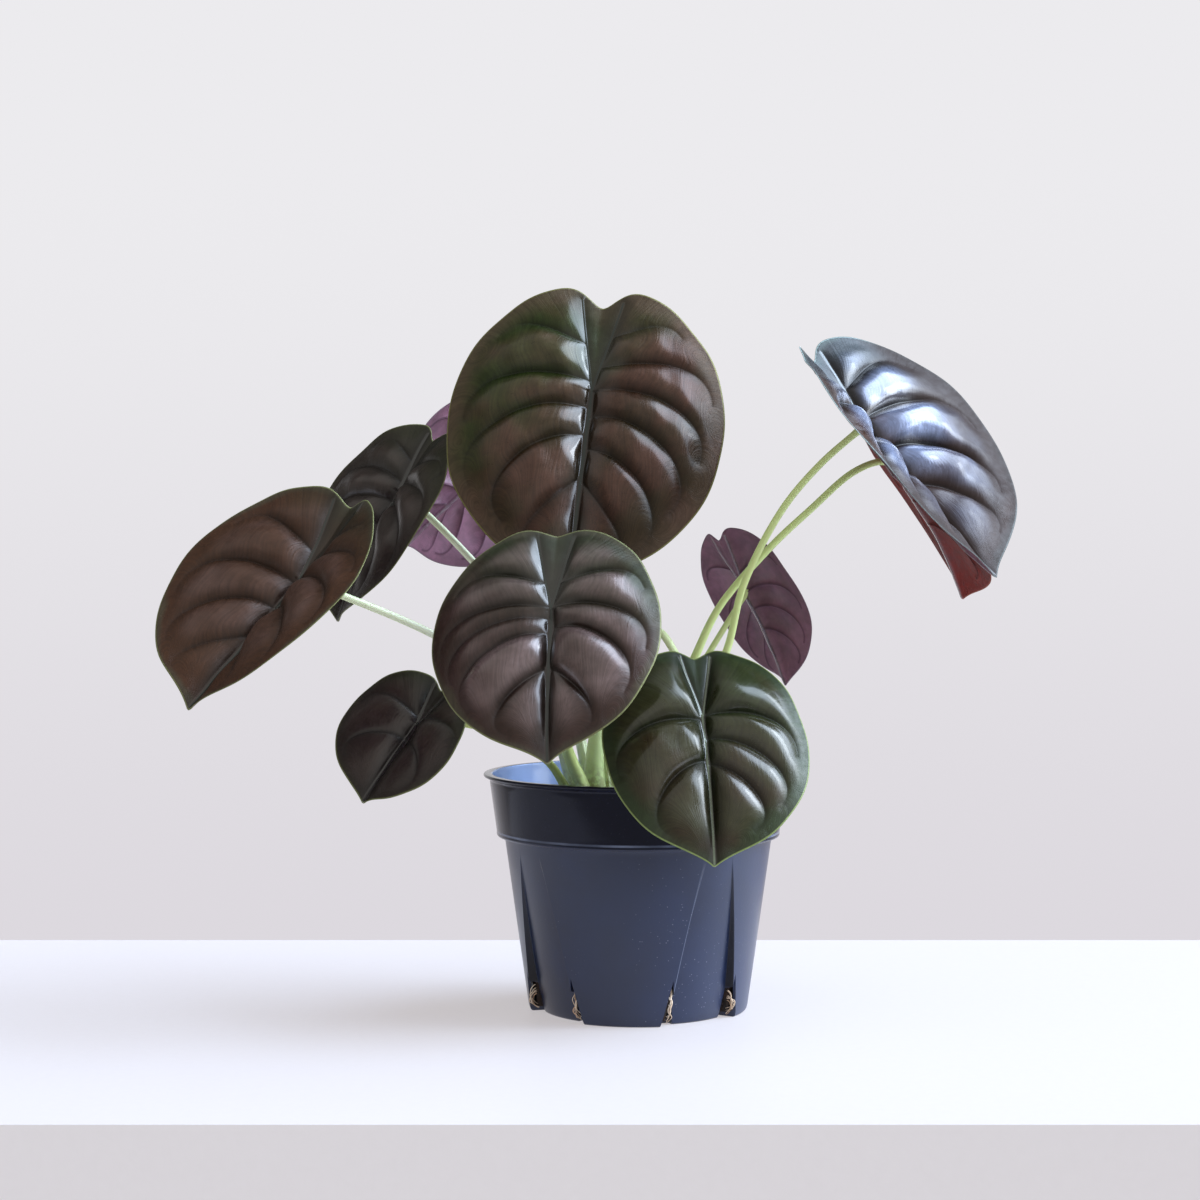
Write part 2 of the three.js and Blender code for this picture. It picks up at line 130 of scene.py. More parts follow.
# Side veins start at these shares of the length, ahead of the hub or (below zero) along a lobe
leafShapes = {
    "top": dict(
        hub=(-18, -8, 239), turn=-1, lean=30, spin=-6, length=128, right=0.87, left=0.84,
        egg=0.11, notch=0.07, droop=22, lobeDrop=0, foldRight=12, foldLeft=10, roll=37,
        veinsRight=(-0.157, -0.03, 0.054, 0.15, 0.29),
        veinsLeft=(-0.19, -0.08, 0.0, 0.085, 0.194, 0.30),
        puff=3.4, look="leaf_olive", green=0.06, slant=-1.1),
    "center": dict(
        hub=(-32.5, -66, 156.5), turn=-15, lean=34, spin=5, length=93, right=1.0, left=0.89,
        egg=0.09, notch=0.05, droop=22, lobeDrop=3, foldRight=13, foldLeft=9, roll=35,
        veinsRight=(-0.12, -0.01, 0.035, 0.1, 0.25), veinsLeft=(-0.12, -0.01, 0.075, 0.25),
        puff=3.0, look="leaf_copper", green=0.05, outer=0.65),
    "front": dict(
        hub=(22.5, -62, 117), turn=8, lean=34, spin=1, length=84, right=0.9, left=0.96,
        egg=0.12, notch=0.06, droop=26, lobeDrop=7, foldRight=10, foldLeft=10, roll=35,
        veinsRight=(0.01, 0.2), veinsLeft=(-0.01, 0.1, 0.215),
        puff=2.1, look="leaf_green", green=0.12, outer=0.5, groove=0.4),
    "left": dict(
        hub=(-127.5, -34, 167), turn=-36, lean=44, spin=-14, length=103, right=0.99, left=0.83,
        egg=0.09, notch=0.06, droop=3, lobeDrop=-15, foldRight=25, foldLeft=22, roll=21,
        veinsRight=(-0.12, 0.02, 0.14, 0.28), veinsLeft=(-0.2, -0.1, 0.0, 0.13, 0.3),
        puff=2.3, look="leaf_copper", warm=0.75, green=-0.2),
    "left_rear": dict(
        hub=(-94, 14, 201), turn=-48, lean=32, spin=-15, length=85, right=0.9, left=0.87,
        egg=0.13, notch=0.07, droop=19, lobeDrop=5, foldRight=19, foldLeft=19, roll=25,
        veinsRight=(-0.15, -0.04, 0.06, 0.18, 0.32), veinsLeft=(-0.14, -0.03, 0.07, 0.2, 0.34),
        puff=2.0, look="leaf_dark"),
    "rear": dict(
        hub=(-57.5, 54, 213.5), turn=-149, lean=18, spin=51, length=80, right=0.96, left=0.89,
        egg=0.12, notch=0.09, droop=18, lobeDrop=1, foldRight=13, foldLeft=14, roll=34,
        veinsRight=(-0.12, 0.0, 0.1, 0.22, 0.34), veinsLeft=(-0.12, 0.0, 0.11, 0.24, 0.35),
        puff=1.6, look="leaf_purple"),
    "small": dict(
        hub=(-84.5, -26, 111.5), turn=-17, lean=33, spin=-27, length=55, right=1.05, left=0.81,
        egg=0.1, notch=0.08, droop=11, lobeDrop=-2, foldRight=19, foldLeft=17, roll=30,
        veinsRight=(-0.06, 0.12), veinsLeft=(-0.08, 0.12), puff=0.5, look="leaf_dark", outer=0.5),
    "right": dict(
        hub=(86.5, -10, 225.5), turn=56, lean=38, spin=5, length=118, right=0.89, left=0.98,
        egg=0.12, notch=0.09, droop=-9, lobeDrop=5, foldRight=15, foldLeft=18, roll=-4,
        veinsRight=(-0.15, -0.04, 0.06, 0.19, 0.33), veinsLeft=(-0.14, -0.02, 0.1, 0.24),
        puff=4.4, look="leaf_silver", shortLobe=0.07),
    "right_under": dict(
        hub=(107, 33, 206.5), turn=98, lean=43, spin=20, length=88, right=0.93, left=0.83,
        egg=0.16, notch=0.11, droop=18, lobeDrop=14, foldRight=12, foldLeft=18, roll=26,
        veinsRight=(-0.12, 0.0, 0.12, 0.26), veinsLeft=(-0.13, 0.0, 0.13, 0.27),
        puff=1.6, look="leaf_red"),
    "right_rear": dict(
        hub=(44.5, 34, 161.5), turn=128, lean=29, spin=-12, length=68, right=0.88, left=0.87,
        egg=0.07, notch=0.07, droop=20, lobeDrop=0, foldRight=16, foldLeft=17, roll=31,
        veinsRight=(-0.12, 0.0, 0.11, 0.24), veinsLeft=(-0.13, 0.01, 0.12, 0.25),
        puff=1.3, look="leaf_purple"),
}
# Unless a leaf says otherwise: flatter towards the edge, full midrib groove, green at its lobes
plainLeaf = {"outer": 0.8, "groove": 1, "green": 0, "slant": 0.25, "warm": 0, "shortLobe": 0}


def outlineReach(leaf, angle):
    away = np.abs(angle)
    tip = bladeShape["tip"] * np.exp(-away / bladeShape["tipAngle"])
    notch = leaf["notch"] * np.exp(-(((np.pi - away) / bladeShape["notchAngle"]) ** 2))
    start = leaf["hub"][0]
    uneven = sum(size * np.sin(turns * angle + shift * start) for size, turns, shift in bladeShape["waves"])
    uneven = uneven * (1 - np.exp(-((away / bladeShape["waveFrom"]) ** 2)))
    behind = np.clip(away * 2 / np.pi - 1, 0, 1)
    uneven = uneven - leaf["shortLobe"] * np.where(angle > 0, np.sin(behind * np.pi) ** 2, 0)
    return leaf["length"] * (bladeShape["waist"] + leaf["egg"] * np.cos(away) + tip - notch + uneven)


def rimPoint(leaf, angle, share=1.0):
    angle = np.asarray(angle, float)
    reach = outlineReach(leaf, angle) * share
    side = np.where(angle >= 0, leaf["right"], leaf["left"])
    return np.stack([reach * np.sin(angle) * side, reach * np.cos(angle)], axis=-1)


def insideBlade(leaf, x, y, margin):
    side = np.where(x >= 0, leaf["right"], leaf["left"])
    angle = np.arctan2(x / side, y)
    return np.hypot(x / side, y) < outlineReach(leaf, angle) - margin


def bladeAxes(leaf):
    turn, lean, spin = (math.radians(leaf[k]) for k in ("turn", "lean", "spin"))
    face = np.array([math.sin(turn) * math.cos(lean), -math.cos(turn) * math.cos(lean), math.sin(lean)])
    down = np.array([math.sin(turn) * math.sin(lean), -math.cos(turn) * math.sin(lean), -math.cos(lean)])
    tip = down * math.cos(spin) + np.cross(face, down) * math.sin(spin)
    return np.cross(tip, face), tip, face


def onBlade(leaf, x, y, lift):
    across, tip, face = bladeAxes(leaf)
    length, straight = leaf["length"], bladeShape["straight"]
    ahead = math.radians(leaf["droop"]) / (bladeShape["ahead"] * length)
    behind = math.radians(leaf["lobeDrop"]) / (bladeShape["behind"] * length)
    bend = np.where(y >= 0, ahead or straight, behind or straight)
    fold = np.radians(np.where(x >= 0, leaf["foldRight"], leaf["foldLeft"]))
    roll = math.radians(leaf["roll"]) / (bladeShape["beside"] * length)
    slope = fold - roll * np.abs(x)
    out = np.sign(x) * ((np.sin(fold) - np.sin(slope)) / roll - lift * np.sin(slope))
    rise = (np.cos(slope) - np.cos(fold)) / roll + lift * np.cos(slope)
    pitch = bend * y
    forward = np.sin(pitch) / bend + rise * np.sin(pitch)
    up = -(1 - np.cos(pitch)) / bend + rise * np.cos(pitch)
    return np.array(leaf["hub"]) + np.outer(out, across) + np.outer(forward, tip) + np.outer(up, face)


# Veins of a flat blade: the midrib, a costa into each lobe, and arching laterals

veinShape = {
    "midribReach": 0.985, "costaReach": 0.93, "costaPull": 0.35, "costaPush": (0.75, 0.7), "costaMarks": 24,
    "endAngle": 64, "endFade": 5.2, "lobeTurn": 330,  # where a lateral meets the edge
    "launch": -8, "launchRise": 75, "tipFrom": 0.2, "tipRise": 350, "launchLimits": (-35, 50),
    "reach": (0.87, 0.93), "reachGain": 0.15, "swing": 0.08, "pull": 0.48, "push": 0.36,
}


def ribCurves(leaf):
    tipReach = float(outlineReach(leaf, 0.0))
    midrib = np.array([[0, 0], [0, tipReach * veinShape["midribReach"]]])
    costae = []
    for hand in (1, -1):
        angle = hand * (math.pi - math.radians(bladeShape["costaAngle"]))
        end = rimPoint(leaf, angle, veinShape["costaReach"])
        pull, push = end * veinShape["costaPull"], end * veinShape["costaPush"]
        costae.append(bezier(np.zeros(2), pull, push, end, veinShape["costaMarks"]))
    return [midrib, *costae]


def lateralCurve(leaf, ribs, hand, start, share):
    v = veinShape
    length = leaf["length"]
    costa = ribs[1] if hand > 0 else ribs[2]
    if start >= 0:
        foot = np.array([0, start * length])
        endAngle = math.radians(v["endAngle"] * math.exp(-v["endFade"] * start))
    else:
        foot = np.array([np.interp(-start * length, -costa[:, 1], costa[:, 0]), start * length])
        endAngle = math.radians(v["endAngle"] - v["lobeTurn"] * start)
    launch = v["launch"] + v["launchRise"] * start + v["tipRise"] * max(start - v["tipFrom"], 0)
    low, high = v["launchLimits"]
    launch = math.radians(min(max(launch, low), high))
    heading = np.array([hand * math.cos(launch), math.sin(launch)])
    end, before, after = (
        rimPoint(leaf, hand * (endAngle + swing), share) for swing in (0, -v["swing"], v["swing"]))
    along = before - after
    along /= np.linalg.norm(along)
    span = np.linalg.norm(end - foot)
    return bezier(foot, foot + heading * v["pull"] * span, end - along * v["push"] * span, end)


def veinCurves(leaf, chance):
    ribs = ribCurves(leaf)
    laterals = []
    for hand, starts in ((1, leaf["veinsRight"]), (-1, leaf["veinsLeft"])):
        for start in starts:
            share = chance.uniform(*veinShape["reach"]) + veinShape["reachGain"] * max(start, 0)
            laterals.append(lateralCurve(leaf, ribs, hand, start, share))
    return ribs, laterals


# Spacing of a blade's points, as shares of the grain except for the rows beside a vein
leafGrain = {
    "fine": 0.85, "small": 0.8, "smallUnder": 82, "veinMark": 0.25, "rimMark": 0.3,
    "rim": 0.8, "vein": 0.75, "veinSpace": 0.4, "rowSpace": 0.36, "fieldSpace": 0.6, "rimClear": 0.5,
    "rows": (0.32, 0.7, 1.15, 1.7), "rowClear": 0.8, "fieldClear": 2.0, "half": 0.7, "outlineSteps": 4000,
}


def bladeGrid(leaf, ribs, laterals, grain, veinTree):
    points, edges, cells = [], [], {}

    def keep(x, y, gap):
        column, row = int(x // 1.0), int(y // 1.0)
        for i in (column - 1, column, column + 1):
            for j in (row - 1, row, row + 1):
                for a, b in cells.get((i, j), ()):
                    if (a - x) ** 2 + (b - y) ** 2 < gap * gap:
                        return None
        cells.setdefault((column, row), []).append((x, y))
        points.append((x, y))
        return len(points) - 1

    angles = np.linspace(-np.pi, np.pi, leafGrain["outlineSteps"] + 1)[:-1]
    outline = np.vstack([rimPoint(leaf, angles), rimPoint(leaf, angles[:1])])
    rim = resample(outline, grain * leafGrain["rim"])[:-1]
    for x, y in rim:
        keep(x, y, 0)
    count = len(rim)
    edges.extend((i, (i + 1) % count) for i in range(count))
    lines = []
    for curve in [*ribs, *laterals]:
        line = resample(curve, grain * leafGrain["vein"])
        last = None
        for x, y in line:
            index = keep(x, y, grain * leafGrain["veinSpace"])
            if index is None and last is None and len(points) > count:  # starts on another vein
                spots = np.array(points[count:])
                index = count + int(np.argmin(((spots - (x, y)) ** 2).sum(1)))
            if index is not None:
                if last is not None:
                    edges.append((last, index))
                last = index
        lines.append(line)
    for away in leafGrain["rows"]:
        for line in lines:
            heading = np.gradient(line, axis=0)
            heading /= np.maximum(np.linalg.norm(heading, axis=1), 1e-9)[:, None]
            normal = np.stack([-heading[:, 1], heading[:, 0]], axis=1)
            for hand in (1, -1):
                row = line + normal * away * hand
                inside = insideBlade(leaf, row[:, 0], row[:, 1], leafGrain["rimClear"])
                gaps = gapTo(veinTree, row[:, 0], row[:, 1])
                for (x, y), isIn, gap in zip(row, inside, gaps):
                    if isIn and gap > away * leafGrain["rowClear"]:
                        keep(x, y, grain * leafGrain["rowSpace"])
    half = leaf["length"] * leafGrain["half"]
    rowGap = grain * math.sqrt(3) / 2
    for j in range(int(2 * half / rowGap)):
        y = -half + j * rowGap
        xs = np.arange(-half, half, grain) + (grain / 2 if j % 2 else 0)
        xs = xs[insideBlade(leaf, xs, np.full(len(xs), y), grain * leafGrain["rimClear"])]
        for x, gap in zip(xs, gapTo(veinTree, xs, np.full(len(xs), y))):
            if gap > leafGrain["fieldClear"]:
                keep(x, y, grain * leafGrain["fieldSpace"])
    return points, edges, count


# How far the puffed top stands above the flat blade, and how thick the blade and its veins are.
# Numbers ending in Width or in Power shape the fall-off of the one before them.

reliefShape = {
    "seat": 0.25, "cell": 0.115, "dome": 1.1, "soften": 0.25, "uneven": 0.1, "outerPower": 1.6,
    "rimWidth": 0.06, "rimPower": 1.3, "crease": 0.08, "creaseWidth": 0.8,
    "ribHeld": 0.6, "veinHeld": 0.2, "ribDepth": 0.9, "ribWidth": 1.6, "ribFade": 0.6, "lobeGroove": 0.6,
    "valley": 2.2, "valleyWidth": 0.07, "valleyFrom": (-0.02, 0.06), "fullLength": 128,
    "cord": 0.6, "cordFoot": 0.6, "cordTip": 0.22, "cordPower": 4, "costaCord": 0.5,
    "ribBelow": 0.8, "ribBelowWidth": 1.2, "veinBelow": 0.3, "veinBelowWidth": 0.7,
    "stripPuff": 0.15, "stripEdge": (0.75, 1.2), "ripple": 0.25, "wave": 0.6, "waveTurns": (5, 6, 7),
    "wavePower": 3, "thinEdge": 0.6, "topPuff": 1.5,
}
membrane = {"weights": (0.01, 20), "rounds": 400, "enough": 1e-9, "tiny": 1e-9}
rippleShape = {"count": 9, "length": (9, 30), "share": 3}


# A membrane held along the veins and the rim and blown up evenly, by conjugate gradients
def swelling(flat, triangles, held):
    corners = np.array(triangles)
    area = np.zeros(len(flat))
    starts, ends, weights = [], [], []
    for k in range(3):
        i, j, far = corners[:, k], corners[:, (k + 1) % 3], corners[:, (k + 2) % 3]
        u, v = flat[i] - flat[far], flat[j] - flat[far]
        cross = np.abs(u[:, 0] * v[:, 1] - u[:, 1] * v[:, 0]) + membrane["tiny"]
        starts.append(i)
        ends.append(j)
        weights.append(np.clip((u * v).sum(axis=1) / cross / 2, *membrane["weights"]))
        area += np.bincount(i, cross / 6, len(flat))
    i, j, weight = np.concatenate(starts), np.concatenate(ends), np.concatenate(weights)
    total = np.bincount(i, weight, len(flat)) + np.bincount(j, weight, len(flat))
    free = ~held

    def pull(h):
        rest = total * h - np.bincount(i, weight * h[j], len(h))
        return (rest - np.bincount(j, weight * h[i], len(h))) * free

    height = np.zeros(len(flat))
    left = area * free
    ready = left / total
    step = ready.copy()
    power = left @ ready
    for _ in range(membrane["rounds"]):
        pulled = pull(step)
        share = power / (step @ pulled)
        height += share * step
        left = left - share * pulled
        ready = left / total
        fresh = left @ ready
        if fresh < membrane["enough"] * len(flat):
            break
        step = ready + fresh / power * step
        power = fresh
    return np.maximum(height, 0)


def ripples(x, y, chance):
    total = np.zeros_like(x)
    for _ in range(rippleShape["count"]):
        heading = chance.uniform(0, math.pi)
        length = chance.uniform(*rippleShape["length"])
        phase = chance.uniform(0, fullTurn)
        total += np.sin((x * math.cos(heading) + y * math.sin(heading)) * fullTurn / length + phase)
    return total / rippleShape["share"]


def falloff(gap, width, power=2):
    return np.exp(-((gap / width) ** power))


def bladeRelief(leaf, x, y, swell, veinGap, ribGap, rimGap, chance):
    shape, length, ahead = reliefShape, leaf["length"], y >= 0
    size = length / shape["fullLength"]
    angle = np.arctan2(x, y)
    reach = np.hypot(x, y) / np.maximum(outlineReach(leaf, angle), 1)
    edge = 1 - falloff(rimGap, shape["rimWidth"] * length, shape["rimPower"])
    costa = math.radians(bladeShape["costaAngle"])
    low, high = shape["stripEdge"]
    strip = 1 - smoothStep(costa * low, costa * high, np.pi - np.abs(angle))  # between the costae
    puff = (swell / ((shape["cell"] * length) ** 2 / 8)) ** shape["dome"]  # 1 on a strip a cell wide
    soften = shape["soften"]
    puff = puff / (1 + soften * puff) * (1 + soften) * (1 + shape["uneven"] * ripples(x, y, chance))
    puff = puff * (1 - leaf["outer"] * np.minimum(reach, 1) ** shape["outerPower"])
    puff = puff * edge * (1 - strip * (1 - shape["stripPuff"]))
    forward = np.clip(y / (bladeShape["ahead"] * length), 0, 1)
    ribFade = np.where(ahead, 1 - shape["ribFade"] * forward, shape["ribFade"])
    valley = np.where(ahead, ribFade * leaf["groove"] * size, 0)
    valley = valley * smoothStep(*shape["valleyFrom"], y / length)
    groove = shape["ribDepth"] * falloff(ribGap, shape["ribWidth"]) * ribFade
    groove += shape["valley"] * falloff(ribGap, shape["valleyWidth"] * length) * valley
    cordWidth = shape["cordFoot"] + (shape["cordTip"] - shape["cordFoot"]) * forward
    cordWidth = np.where(ahead, cordWidth, shape["cordTip"])
    cord = falloff(ribGap, cordWidth, shape["cordPower"]) * np.where(ahead, ribFade, shape["costaCord"])
    groove -= shape["cord"] * cord
    groove *= np.where(ahead, 1, shape["lobeGroove"])
    crease = shape["crease"] * np.exp(-veinGap / shape["creaseWidth"]) * edge
    turns = chance.choice(shape["waveTurns"])
    wave = shape["wave"] * np.sin(angle * turns + chance.uniform(0, 6)) * reach ** shape["wavePower"]
    small = shape["ripple"] * ripples(x, y, chance) * edge * size
    top = shape["seat"] + leaf["puff"] * puff - groove - crease + wave + small
    ridge = shape["ribBelow"] * falloff(ribGap, shape["ribBelowWidth"]) * ribFade
    ridge += shape["veinBelow"] * falloff(veinGap, shape["veinBelowWidth"]) * edge
    thin = shape["thinEdge"]
    bottom = top - bladeShape["thickness"] * (thin + (1 - thin) * edge) - ridge
    return top, bottom, np.minimum(puff, shape["topPuff"]), strip


# The silky grain runs along the nearest veins: each point borrows their run and number
grainShape = {"mark": 1.2, "beyond": 9, "number": 0.8, "near": 0.3, "power": -1.6, "batch": 1500}


def grainMarks(curves):
    marks, along, number = [], [], []
    for index, curve in enumerate(curves):
        line = resample(curve, grainShape["mark"])
        steps = np.arange(1, grainShape["beyond"] + 1)[:, None]
        line = np.vstack([line, line[-1] + (line[-1] - line[-2]) * steps])
        marks.append(line)
        along.append(np.arange(len(line)) * (grainShape["mark"] if index > 2 else 0))
        number.append(np.full(len(line), index * grainShape["number"]))
    return np.vstack(marks), np.concatenate(along), np.concatenate(number)


def grainSpread(x, y, marks, along, number):
    out = []
    batch = grainShape["batch"]
    for first in range(0, len(x), batch):
        gapX = x[first:first + batch, None] - marks[:, 0]
        gapY = y[first:first + batch, None] - marks[:, 1]
        weight = (gapX ** 2 + gapY ** 2 + grainShape["near"]) ** grainShape["power"]
        weight /= weight.sum(axis=1)[:, None]
        out.append(np.stack([weight @ along, weight @ number], axis=1))
    return np.vstack(out).T


undersides = {}
greenSpan, cloudDepth = (0.08, -0.3), (0, 90)


def makeLeaf(name, leaf, material):
    chance = random.Random(f"blade {name}")
    ribs, laterals = veinCurves(leaf, chance)
    grain = leafGrain["fine"] if leaf["length"] > leafGrain["smallUnder"] else leafGrain["small"]
    dense = [resample(curve, leafGrain["veinMark"]) for curve in [*ribs, *laterals]]
    veinTree, ribTree = makeTree(np.vstack(dense)), makeTree(np.vstack(dense[:3]))
    points, edges, count = bladeGrid(leaf, ribs, laterals, grain, veinTree)
    spots, _, triangles, origin, _, _ = delaunay_2d_cdt([Vector(p) for p in points], edges, [], 1, 1e-5)
    place = {source: index for index, sources in enumerate(origin) for source in sources}
    rim = [place[i] for i in range(count)]
    flat = np.array([tuple(p) for p in spots])
    x, y = flat[:, 0], flat[:, 1]
    rimTree = makeTree(resample(np.vstack([flat[rim], flat[rim[:1]]]), leafGrain["rimMark"]))
    veinGap, ribGap, rimGap = (gapTo(tree, x, y) for tree in (veinTree, ribTree, rimTree))
    rimGap[rim] = 0
    grainAlong, grainSide = grainSpread(x, y, *grainMarks([*ribs, *laterals]))
    held = (veinGap < reliefShape["veinHeld"]) | (ribGap < reliefShape["ribHeld"])
    held[rim] = True
    swell = swelling(flat, triangles, held)
    top, bottom, puff, strip = bladeRelief(leaf, x, y, swell, veinGap, ribGap, rimGap, chance)
    rimOut = flat[rim] * (1 + bladeShape["edge"] / np.linalg.norm(flat[rim], axis=1))[:, None]
    solid = np.vstack([
        onBlade(leaf, x, y, top),
        onBlade(leaf, x, y, bottom),
        onBlade(leaf, rimOut[:, 0], rimOut[:, 1], (top[rim] + bottom[rim]) / 2),
    ])
    n = len(flat)
    a, b, c = (flat[[t[k] for t in triangles]] for k in range(3))
    turnsLeft = np.cross(b - a, c - a) > 0
    faces, below = [], []
    for (i, j, k), left in zip(triangles, turnsLeft):
        if not left:
            j, k = k, j
        faces += [(i, j, k), (n + i, n + k, n + j)]
        below.append((i, k, j))
    for i in range(count):
        j = (i + 1) % count
        faces.append((rim[i], rim[j], 2 * n + j, 2 * n + i))
        faces.append((2 * n + i, 2 * n + j, n + rim[j], n + rim[i]))
    undersides[name] = BVHTree.FromPolygons([tuple(p) for p in solid[n:2 * n]], below)
    lobe = smoothStep(*greenSpan, (y + leaf["slant"] * x) / leaf["length"] - leaf["green"])

    def both(values, edgeValues=None):
        return np.concatenate([values, values, values[rim] if edgeValues is None else edgeValues])

    zero = np.zeros(count)
    total = 2 * n + count
    attributes = {
        "veinGap": both(veinGap), "ribGap": both(ribGap), "rimGap": both(rimGap, zero),
        "puff": both(puff, zero), "strip": both(strip, zero), "lobe": both(lobe),
        "under": np.concatenate([np.zeros(n), np.ones(n), zero + 0.5]),
        "warm": np.full(total, leaf["warm"]),
        "grainPlace": np.stack([both(grainAlong), both(grainSide), np.zeros(total)], axis=1),
        "bladePlace": np.stack([both(x), both(y), np.full(total, chance.uniform(*cloudDepth))], axis=1),
    }
    dress(buildMesh(f"blade_{name}", solid, faces, attributes), material, f"leaf_{name}")


# Material helpers: a value is a socket, a number or a colour code

def paint(code):
    parts = [int(code[i:i + 2], 16) / 255 for i in (1, 3, 5)]
    return (*[c / 12.92 if c <= 0.04045 else ((c + 0.055) / 1.055) ** 2.4 for c in parts], 1)


def newMaterial(name):
    material = bpy.data.materials.new(name)
    material.use_nodes = True
    tree = material.node_tree
    return material, tree, tree.nodes["Principled BSDF"]


def feed(tree, target, value):
    if isinstance(value, bpy.types.NodeSocket):
        tree.links.new(value, target)
    else:
        target.default_value = paint(value) if isinstance(value, str) else value


def addNode(tree, kind, inputs, output=0, **settings):
    node = tree.nodes.new(f"ShaderNode{kind}")
    for key, value in settings.items():
        setattr(node, key, value)
    for target, value in inputs.items():
        feed(tree, node.inputs[target], value)
    return node.outputs[output]


def calc(tree, operation, *values, clamp=False):
    return addNode(tree, "Math", dict(enumerate(values)), operation=operation, use_clamp=clamp)


def times(tree, first, second):
    return calc(tree, "MULTIPLY", first, second)


def plus(tree, first, second):
    return calc(tree, "ADD", first, second)


def blend(tree, factor, first, second, mode="MIX"):
    inputs = {"Factor": factor, 6: first, 7: second}
    return addNode(tree, "Mix", inputs, 2, data_type="RGBA", blend_type=mode, clamp_factor=True)


def shaded(tree, colour, shade):
    return blend(tree, 1.0, colour, shade, "MULTIPLY")


def span(tree, value, low, high, toLow=0.0, toHigh=1.0):
    inputs = dict(enumerate((value, low, high, toLow, toHigh)))
    return addNode(tree, "MapRange", inputs, interpolation_type="SMOOTHSTEP")


# Spans by their names, then colours laid over one another, each as far as its factor says
def namedSpans(tree, spans):
    return lambda value, name: span(tree, value, *spans[name])


def layered(tree, look, colour, *layers):
    for factor, key in layers:
        colour = blend(tree, factor, colour, look[key])
    return colour


def reading(tree, name, output="Fac"):
    return addNode(tree, "Attribute", {}, output, attribute_name=name)


def objectPlace(tree):
    return addNode(tree, "TexCoord", {}, "Object")


def threeWays(tree, place):
    addNode(tree, "SeparateXYZ", {0: place})
    return tree.nodes[-1].outputs


def stretched(tree, place, scale):
    return addNode(tree, "VectorMath", {0: place, 1: scale}, operation="MULTIPLY")


def cloud(tree, place, scale, detail=3.0, roughness=0.5):
    inputs = {"Vector": place, "Scale": scale, "Detail": detail, "Roughness": roughness}
    return addNode(tree, "TexNoise", inputs, "Fac")


def cells(tree, place, scale):
    return addNode(tree, "TexVoronoi", {"Vector": place, "Scale": scale}, "Distance")


def finish(tree, shader, colour, rough, height, strength, distance):
    feed(tree, shader.inputs["Base Color"], colour)
    feed(tree, shader.inputs["Roughness"], rough)
    inputs = {"Height": height, "Strength": strength, "Distance": distance * mm}
    feed(tree, shader.inputs["Normal"], addNode(tree, "Bump", inputs, "Normal"))


# Leaf finishes: one shared look, and what each kind of leaf changes

sharedLook = {
    "under": "#6c4c58", "underVein": "#422a34", "warm": "#52300f",
    "hub": 0.0, "ribDull": 0.0, "farShadeAndDull": 0.0, "veinShadeDepth": 1.0,
}
# The pale puff-top colour in each look is the puffs' own paler tone with painted sheen over it; on the
# silver leaf it is a bright painted reflection
leafLooks = {
    "leaf_olive": dict(
        body="#3f261a", cloud="#322614", lobe="#28340e", crestToneAndSheen="#563c30", rim="#5a4a3c",
        rimWidth=12, vein="#0b0f07", rib="#14221b", strip="#2c351b", margin="#7c7c48",
        gloss=0.32, metal=0.3, specular=0.25, coat=0.5, haze=0.11, hub=0.85),
    "leaf_copper": dict(
        body="#3c2721", cloud="#322016", lobe="#2e3520", crestToneAndSheen="#7c6a69", rim="#4b4a38",
        rimWidth=3, vein="#0c0d09", rib="#15241c", strip="#333b2d", margin="#7e8455", warm="#4c2c12",
        gloss=0.34, metal=0.3, specular=0.6, coat=0.7, haze=0.18, hub=1.0),
    "leaf_green": dict(
        body="#272c11", cloud="#302412", lobe="#283718", crestToneAndSheen="#34331c", rim="#2a3a22",
        rimWidth=7, vein="#080e08", rib="#66725c", strip="#2c3f24", margin="#869858",
        under="#6e5a62", underVein="#46323a",
        gloss=0.32, metal=0.1, specular=0.35, coat=0.8, haze=0.12, ribDull=0.75),
    "leaf_dark": dict(
        body="#2e221b", cloud="#241c15", lobe="#282a14", crestToneAndSheen="#3a2d28", rim="#32331c",
        rimWidth=3, vein="#0a0907", rib="#131f17", strip="#2e2f26", margin="#6f7648",
        under="#5a4652", underVein="#3a2833",
        gloss=0.34, metal=0.2, specular=0.6, coat=0.6, haze=0.22),
    "leaf_silver": dict(
        body="#30231f", cloud="#3e2417", lobe="#2a3338", crestToneAndSheen="#8c9cc0", rim="#42524f",
        rimWidth=4, vein="#0f1215", rib="#4e6064", strip="#40525a", margin="#a0b4b4",
        under="#6c4854", underVein="#422832",
        gloss=0.24, metal=0.15, specular=0.25, coat=1.0, haze=0.15, farShadeAndDull=0.9, veinShadeDepth=1.7),
    "leaf_purple": dict(
        body="#402e28", cloud="#372a20", lobe="#363820", crestToneAndSheen="#54423f", rim="#4a4a2c",
        rimWidth=3, vein="#0f0f0c", rib="#243a32", strip="#3f443c", margin="#7a6070",
        under="#80586c", underVein="#4a2c3e",
        gloss=0.36, metal=0.1, specular=0.5, coat=0.3, haze=0.2),
}
leafLooks["leaf_red"] = dict(
    leafLooks["leaf_purple"], margin="#8c4630", under="#701a0e", underVein="#3c0e0a", coat=0.2)

